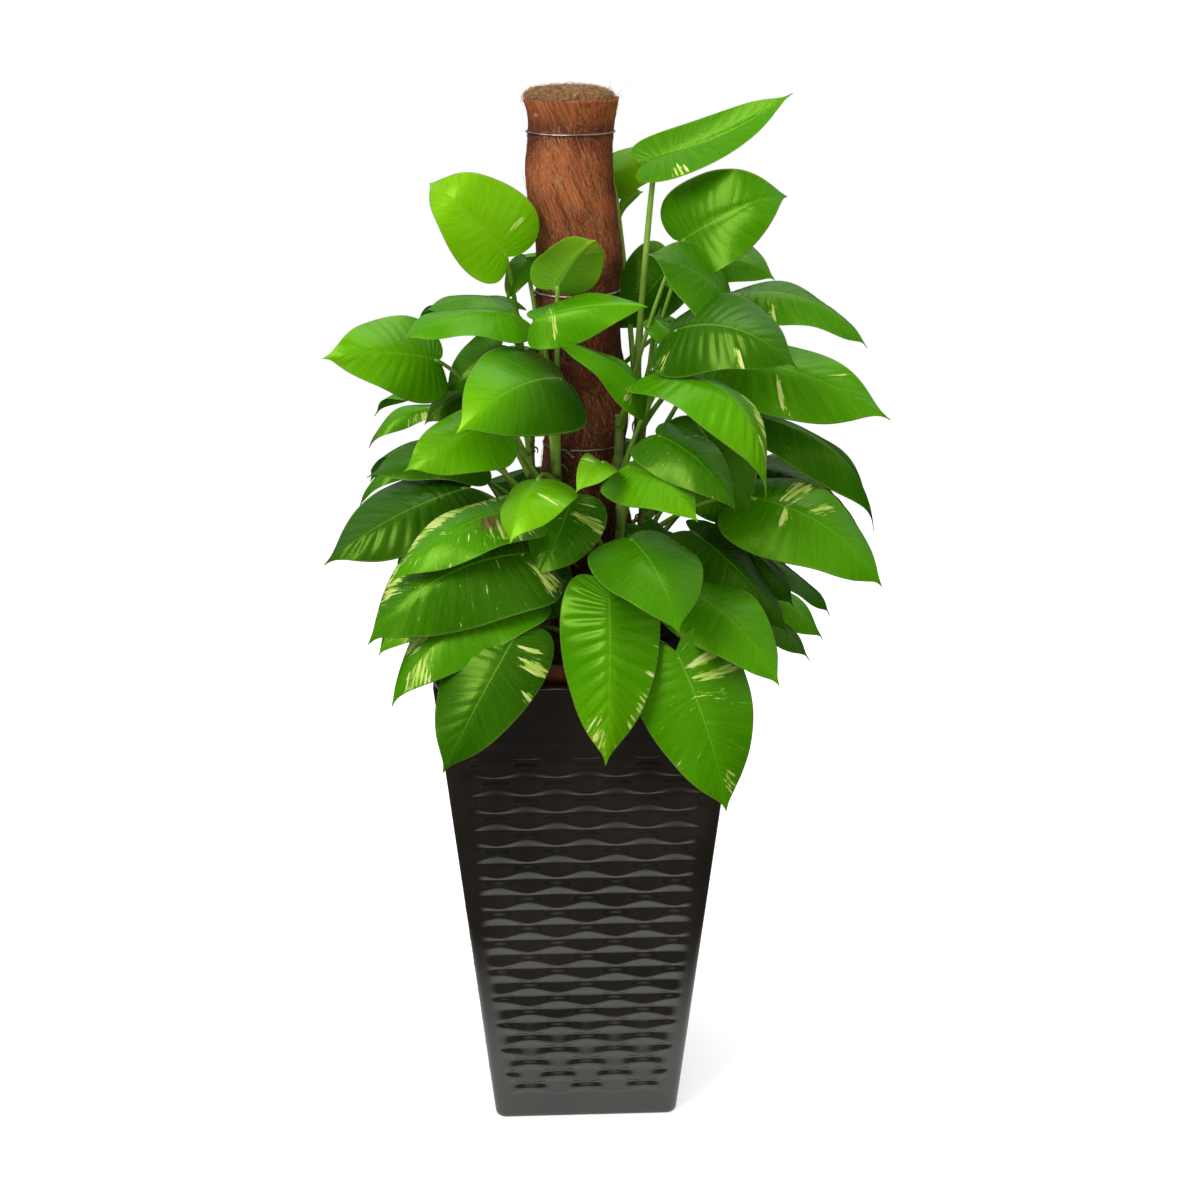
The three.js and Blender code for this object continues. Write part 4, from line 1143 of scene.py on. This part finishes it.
leafRows = [
    leafRow("right", 785, (62, -40, 1006), (192, -75, 1070), (-0.1, -0.75, 0.65), 0.5, 12, -0.05, (0.4, 0.62),
            wave=0.2, pleat=0.15, cream=[(-1, 0.42, 0.05, 0.5, 1.0, 0.7)], stalk=1.25),
    leafRow("front_right", 750, (93, -42, 932), (194, -66, 986), (-0.2, -1, 0.5), 1.12, 8, 0.1, (0.42, 0.5),
            curl=1.25, curlFrom=0.66, pleat=0.3, twist=0.1),
    leafRow("left", 760, (-70, -60, 921), (-146, -66, 1000), (-0.1, -1, 0.5), 1.1, 8, 0.08, (0.72, 0.85), curl=1.4,
            curlFrom=0.6, skew=-0.12, pleat=0.3, cream=[(-1, 0.4, 0.025, 0.2, 0.7, 0.85)]),
    leafRow("front_left", 730, (-26, -73, 893), (10, -116, 944), (-0.3, 1, 0.3), 1.2, 22, 0.1, (0.5, 0.95),
            pleat=0.1, cream=[(1, 0.85, 0.15, 0.2, 1.0, 1.1), (-1, 0.92, 0.08, 0.2, 1.0, 0.9)]),
    leafRow("front_left", 718, (-46, -110, 871), (58, -124, 884), (0, -0.85, 0.9), 0.72, -26, 0.09, (0.5, 0.6),
            pleat=0.1, cream=[(-1, 0.42, 0.035, 0.0, 0.7, 0.8), (1, 0.4, 0.04, 0.0, 0.45, 0.75)]),
    leafRow("right", 770, (142, -70, 872), (57, -104, 930), (0.1, -0.8, 0.9), 1.2, -6, 0.16, (0.55, 0.2), pleat=0.2,
            dryTip=0.07),
    leafRow("right", 755, (97, -5, 912), (186, -40, 895), (0, -0.7, 1), 1.15, -8, 0.16, (0.38, 0.5), pleat=0.2),
    leafRow("back", 740, (150, 15, 872), (286, -5, 822), (0.2, -0.5, 1), 0.62, -18, 0.16, (0.42, 0.5), pleat=1.2,
            cream=[(-1, 0.5, 0.03, 0.2, 1.0, 0.55)]),
    leafRow("right", 720, (80, -118, 860), (190, -175, 836), (0.05, -0.9, 0.75), 1.02, -14, 0.2, (0.2, 0.3),
            pleat=1.0, cream=[(-1, 0.3, 0.035, 0.55, 1.0, 0.7), (-1, 0.68, 0.03, 0.5, 1.0, 0.7)]),
    leafRow("right", 736, (118, -46, 822), (294, -97, 770), (0.1, -0.8, 0.8), 0.68, -16, 0.16, (0.45, 0.58),
            pleat=0.5,
            cream=[(1, 0.4, 0.025, 0.1, 0.6, 0.75), (-1, 0.6, 0.02, 0.2, 0.9, 0.6), (1, 0.75, 0.02, 0.2, 0.9, 0.55)]),
    leafRow("right", 700, (140, -15, 766), (304, -58, 658), (0.3, -0.5, 1), 0.46, -34, 0.18, (0.25, 0.3),
            dryTip=0.06, curl=0.5, curlFrom=0.6),
    leafRow("front_right", 700, (72, -120, 822), (164, -190, 720), (0.45, -0.6, 0.9), 0.62, -22, 0.3, (0.5, 0.68),
            pleat=1.3, cream=[(1, 0.62, 0.16, 0.72, 1.0, 1.05), (1, 0.84, 0.06, 0.3, 1.0, 0.9)]),
    leafRow("right", 680, (106, -60, 766), (156, -116, 682), (0, -1, 0.4), 1.0, -10, 0.12, (0.2, 0.28)),
    leafRow("front_right", 650, (66, -132, 766), (136, -184, 706), (0.3, -0.9, 0.6), 0.85, -14, 0.16, (0.34, 0.3),
            flecks=-0.05),
    leafRow("front_right", 620, (38, -125, 734), (100, -198, 700), (0.0, -0.7, 1), 0.9, -14, 0.14, (0.6, 0.62),
            pleat=0.8, cream=[(1, 0.5, 0.08, 0.35, 1.0, 0.9), (1, 0.7, 0.06, 0.2, 1.0, 0.85)]),
    leafRow("front_right", 680, (16, -130, 739), (-12, -196, 728), (0.2, -0.5, 1), 0.7, 10, 0.12, (0.75, 0.75),
            cream=[(-1, 0.5, 0.1, 0.2, 0.9, 0.65)]),
    leafRow("front_left", 688, (-44, -146, 728), (-72, -206, 684), (-0.45, -0.7, 0.8), 1.2, -12, 0.16, (0.62, 0.82),
            skew=0.15, pleat=0.2, cream=[(1, 0.55, 0.03, 0.25, 0.9, 0.7)]),
    leafRow("front_right", 590, (-12, -95, 697), (-48, -137, 628), (-0.3, -1, 0.3), 1.15, 6, 0.08, (0.32, 0.36),
            pleat=0.3, flecks=0.0, cream=[(1, 0.45, 0.045, 0.15, 1.0, 1.0), (1, 0.3, 0.02, 0.2, 0.7, 0.8)]),
    leafRow("front_left", 705, (-20, -119, 817), (-118, -190, 783), (-0.15, -1, 0.5), 1.12, -12, 0.17, (0.14, 0.85),
            sideTone=-0.1, pleat=0.15, wave=0.3),
    leafRow("front_right", 755, (58, -108, 797), (-26, -138, 852), (0.1, -0.7, 0.9), 0.6, -26, 0.14, (0.62, 0.4),
            cream=[(1, 0.45, 0.05, 0.1, 0.8, 0.8)]),
    leafRow("left", 690, (-138, -55, 822), (-242, -105, 838), (-0.1, -1, 0.6), 1.02, -8, 0.12, (0.55, 0.66),
            pleat=0.6, curl=0.5),
    leafRow("left", 735, (-65, 5, 862), (-155, 25, 856), (0, -0.3, 1), 0.8, -8, 0.15, (0.4, 0.45)),
    leafRow("left", 725, (-62, -72, 868), (-172, -118, 853), (0, -0.35, 1), 0.75, -14, 0.14, (0.55, 0.5), pleat=0.2),
    leafRow("front_left", 660, (-84, -95, 770), (-170, -140, 735), (-0.2, -0.9, 0.7), 0.95, -10, 0.14, (0.55, 0.68),
            pleat=0.2),
    leafRow("left", 665, (-105, -20, 718), (-212, -55, 708), (0, -0.5, 1), 0.8, -8, 0.14, (0.2, 0.3), dryTip=0.06),
    leafRow("left", 630, (-112, -55, 696), (-252, -110, 636), (-0.3, -0.8, 0.8), 0.85, -14, 0.16, (0.15, 0.2),
            pleat=1.2, dryTip=0.08),
    leafRow("front_left", 590, (-62, -112, 690), (-186, -158, 632), (-0.2, -0.6, 1), 0.7, -10, 0.2, (0.45, 0.6),
            flecks=0.04, cream=[(-1, 0.5, 0.34, 0.7, 1.0, 1.05), (1, 0.4, 0.12, 0.3, 0.9, 0.85)],
            dry=[(1, 0.34, 0.1, 0.15, 0.45), (1, 0.5, 0.05, 0.1, 0.35)]),
    leafRow("front_left", 570, (-54, -126, 650), (-208, -166, 574), (-0.35, -0.9, 0.7), 0.92, -14, 0.17,
            (0.2, 0.48), pleat=0.5, flecks=0.0,
            cream=[(-1, 0.66, 0.2, 0.72, 1.0, 1.05), (1, 0.25, 0.05, 0.3, 0.9, 0.9), (1, 0.12, 0.04, 0.3, 0.9, 0.8)]),
    leafRow("left", 560, (-66, -135, 614), (-188, -170, 512), (-0.5, -0.7, 0.7), 0.66, -16, 0.16, (0.42, 0.55),
            cream=[(-1, 0.7, 0.08, 0.2, 1.0, 0.95), (1, 0.8, 0.08, 0.2, 1.0, 0.9), (-1, 0.4, 0.03, 0.2, 0.8, 0.8)]),
    leafRow("front_left", 535, (-66, -165, 584), (-139, -207, 458), (-0.1, -1, 0.3), 0.84, -10, 0.1, (0.2, 0.32),
            pleat=0.6,
            cream=[(1, 0.33, 0.022, 0.2, 0.7, 1.1), (1, 0.4, 0.03, 0.35, 1.0, 1.1), (1, 0.5, 0.03, 0.75, 1.0, 1.0)]),
    leafRow("front_left", 555, (20, -172, 626), (15, -214, 466), (0.05, -1, 0.25), 0.78, -16, 0.1, (0.45, 0.72),
            pleat=1.9, wave=0.9, cream=[(-1, 0.86, 0.1, 0.3, 1.0, 0.8), (1, 0.7, 0.2, 0.86, 1.0, 0.8)]),
    leafRow("front_right", 530, (84, -170, 564), (132, -203, 411), (0.2, -1, 0.3), 0.94, -10, 0.1, (0.46, 0.54),
            skew=0.1, pleat=0.3, flecks=-0.04,
            cream=[(1, 0.36, 0.03, 0.1, 0.8, 1.05), (1, 0.44, 0.025, 0.1, 0.85, 0.95),
                   (1, 0.53, 0.02, 0.05, 0.6, 0.8), (1, 0.86, 0.05, 0.3, 0.8, 0.7)]),
    leafRow("front_right", 560, (40, -152, 672), (80, -242, 608), (0.1, -0.75, 0.9), 1.18, -10, 0.13, (0.38, 0.46),
            pleat=0.2),
    leafRow("right", 540, (97, -112, 607), (181, -190, 535), (0.3, -0.9, 0.6), 0.85, -10, 0.12, (0.48, 0.5),
            pleat=0.25),
    leafRow("right", 622, (162, -72, 688), (290, -118, 608), (0.2, -0.85, 0.8), 0.82, -12, 0.15, (0.42, 0.55),
            pleat=0.3,
            cream=[(1, 0.46, 0.05, 0.1, 0.9, 0.95), (1, 0.6, 0.04, 0.1, 0.7, 0.9), (-1, 0.5, 0.04, 0.0, 0.4, 0.8)]),
    leafRow("right", 645, (160, -14, 705), (292, -34, 612), (0.45, -0.4, 1), 0.8, -16, 0.18, (0.2, 0.25), pleat=1.5),
    leafRow("right", 575, (108, -52, 648), (202, -100, 553), (0.4, -0.7, 0.6), 0.68, -16, 0.16, (0.12, 0.2)),
    leafRow("back", 560, (180, 5, 606), (261, 0, 538), (0.6, -0.4, 1), 0.75, -10, 0.12, (0.25, 0.3)),
    leafRow("right", 520, (134, -40, 580), (232, -58, 510), (0.4, -0.4, 1), 0.66, -12, 0.12, (0.25, 0.3)),
    leafRow("back", 720, (50, 120, 835), (105, 215, 800), (0.2, 0.6, 1), 1.0, -10, 0.14, (0.45, 0.5),
            cream=[(1, 0.5, 0.03, 0.2, 1.0, 0.8)]),
    leafRow("back", 680, (-50, 125, 800), (-105, 215, 745), (-0.2, 0.7, 1), 1.05, -10, 0.14, (0.5, 0.6)),
    leafRow("left", 600, (-130, 70, 715), (-225, 130, 655), (-0.4, 0.5, 1), 0.95, -10, 0.14, (0.4, 0.5), flecks=0.0),
    leafRow("back", 620, (25, 145, 700), (40, 250, 630), (0, 0.8, 1), 1.1, -8, 0.12, (0.55, 0.5),
            cream=[(-1, 0.4, 0.04, 0.2, 1.0, 0.8)]),
    leafRow("back", 570, (125, 110, 655), (205, 190, 580), (0.5, 0.5, 1), 1.0, -10, 0.12, (0.3, 0.4), pleat=1.0),
    leafRow("back", 530, (-75, 165, 590), (-115, 215, 465), (-0.2, 1, 0.3), 1.1, -6, 0.1, (0.45, 0.5), flecks=0.0),
]

extraRows = [
    leafRow("right", 770, (30, 62, 985), (108, 48, 1012), (-0.1, -0.8, 0.7), 0.9, -10, 0.1, (0.72, 0.85),
            dryTip=0.16),
    leafRow("front_left", 700, (-53, -28, 915), (-72, -46, 878), (-0.2, -0.9, 0.4), 0.8, -12, 0.1, (0.3, 0.35)),
    leafRow("right", 730, (92, 28, 902), (34, 20, 836), (0.2, -1, 0.3), 1.1, -8, 0.12, (0.28, 0.35)),
    leafRow("right", 690, (150, 50, 770), (217, 60, 728), (0.3, -0.7, 0.9), 0.9, -12, 0.14, (0.5, 0.45), pleat=1.2),
    leafRow("right", 640, (184, 50, 692), (284, 60, 668), (0.2, -0.5, 1), 0.4, -20, 0.14, (0.55, 0.5)),
    leafRow("left", 715, (-78, -30, 832), (-134, -38, 788), (-0.2, -0.9, 0.5), 1.05, -8, 0.12, (0.25, 0.3)),
    leafRow("left", 700, (-92, -10, 786), (-156, -22, 752), (-0.3, -0.8, 0.6), 0.9, -8, 0.12, (0.18, 0.22)),
    leafRow("left", 705, (-150, 20, 760), (-215, 15, 720), (-0.3, -0.6, 0.9), 0.5, -20, 0.16, (0.55, 0.5),
            cream=[(1, 0.4, 0.15, 0.3, 1.0, 0.7)], dryTip=0.4),
    leafRow("left", 650, (-158, 10, 712), (-226, 5, 662), (-0.4, -0.6, 0.8), 0.5, -18, 0.16, (0.4, 0.4), dryTip=0.3),
    leafRow("left", 560, (-110, -82, 598), (-204, -104, 540), (-0.3, -0.8, 0.7), 0.62, -14, 0.14, (0.55, 0.65),
            flecks=0.0),
    leafRow("front_left", 530, (-16, -90, 610), (-100, -112, 572), (-0.1, -0.7, 0.9), 0.9, -8, 0.12, (0.22, 0.3)),
    leafRow("right", 530, (190, 60, 545), (266, 66, 487), (0.3, -0.6, 0.9), 0.75, -10, 0.14, (0.6, 0.5)),
    leafRow("right", 620, (114, 8, 698), (150, 0, 636), (0.1, -1, 0.4), 1.1, -6, 0.1, (0.5, 0.5), pleat=1.2),
    leafRow("right", 700, (70, -40, 858), (92, -70, 822), (0.2, -0.9, 0.6), 0.7, -14, 0.1, (0.5, 0.5)),
    leafRow("front_right", 600, (58, -62, 655), (72, -84, 585), (0.2, -1, 0.4), 0.9, -10, 0.12, (0.1, 0.15)),
    leafRow("front_left", 560, (-34, -58, 668), (-56, -76, 612), (-0.2, -1, 0.4), 0.95, -10, 0.12, (0.12, 0.18)),
    leafRow("right", 585, (140, -30, 640), (214, -52, 566), (0.4, -0.6, 0.8), 0.8, -12, 0.14, (0.16, 0.2)),
    leafRow("left", 590, (-96, -40, 650), (-176, -70, 600), (-0.3, -0.8, 0.7), 0.85, -12, 0.14, (0.15, 0.22)),
    leafRow("back", 760, (-20, 95, 900), (-65, 160, 870), (-0.2, 0.8, 0.8), 1.0, -8, 0.14, (0.6, 0.6)),
    leafRow("back", 765, (40, 90, 930), (70, 140, 960), (0.1, 0.9, 0.6), 1.1, 8, 0.12, (0.55, 0.7)),
    leafRow("back", 700, (-95, 90, 850), (-170, 140, 825), (-0.3, 0.6, 1), 0.95, -10, 0.14, (0.5, 0.5)),
    leafRow("back", 660, (85, 125, 765), (150, 205, 715), (0.3, 0.7, 1), 0.9, -10, 0.16, (0.4, 0.5), pleat=1.0),
    leafRow("back", 600, (-40, 140, 665), (-70, 235, 590), (-0.1, 0.9, 0.9), 1.05, -10, 0.14, (0.35, 0.4)),
    leafRow("back", 560, (70, 150, 590), (90, 225, 500), (0.1, 1, 0.5), 1.0, -8, 0.12, (0.5, 0.55),
            cream=[(1, 0.45, 0.03, 0.2, 1.0, 0.85)]),
    leafRow("right", 600, (150, 75, 665), (235, 125, 600), (0.5, 0.2, 1), 0.9, -12, 0.16, (0.35, 0.45)),
    leafRow("right", 690, (140, 70, 800), (215, 110, 770), (0.3, 0.2, 1), 0.95, -10, 0.16, (0.5, 0.55)),
    leafRow("left", 640, (-140, 60, 770), (-215, 95, 735), (-0.4, 0.3, 1), 0.95, -10, 0.16, (0.45, 0.5)),
    leafRow("left", 540, (-130, 80, 620), (-195, 130, 545), (-0.6, 0.5, 0.8), 1.0, -10, 0.14, (0.3, 0.35),
            flecks=0.0),
    leafRow("left", 520, (-150, 20, 575), (-215, 30, 490), (-0.8, -0.1, 0.7), 0.95, -10, 0.12, (0.5, 0.5)),
    leafRow("right", 520, (150, 100, 562), (196, 142, 478), (0.8, 0.3, 0.6), 1.0, -10, 0.12, (0.4, 0.45)),
]

for number, row in enumerate(leafRows):
    makeLeaf(f"leaf{number + 1:02d}", row, replaced=[f"leaf_{number + 1:02d}"])
for number, row in enumerate(extraRows):
    makeLeaf(f"smallLeaf{number + 1:02d}", row)
print(len(leafRows) + len(extraRows), "leaves done")
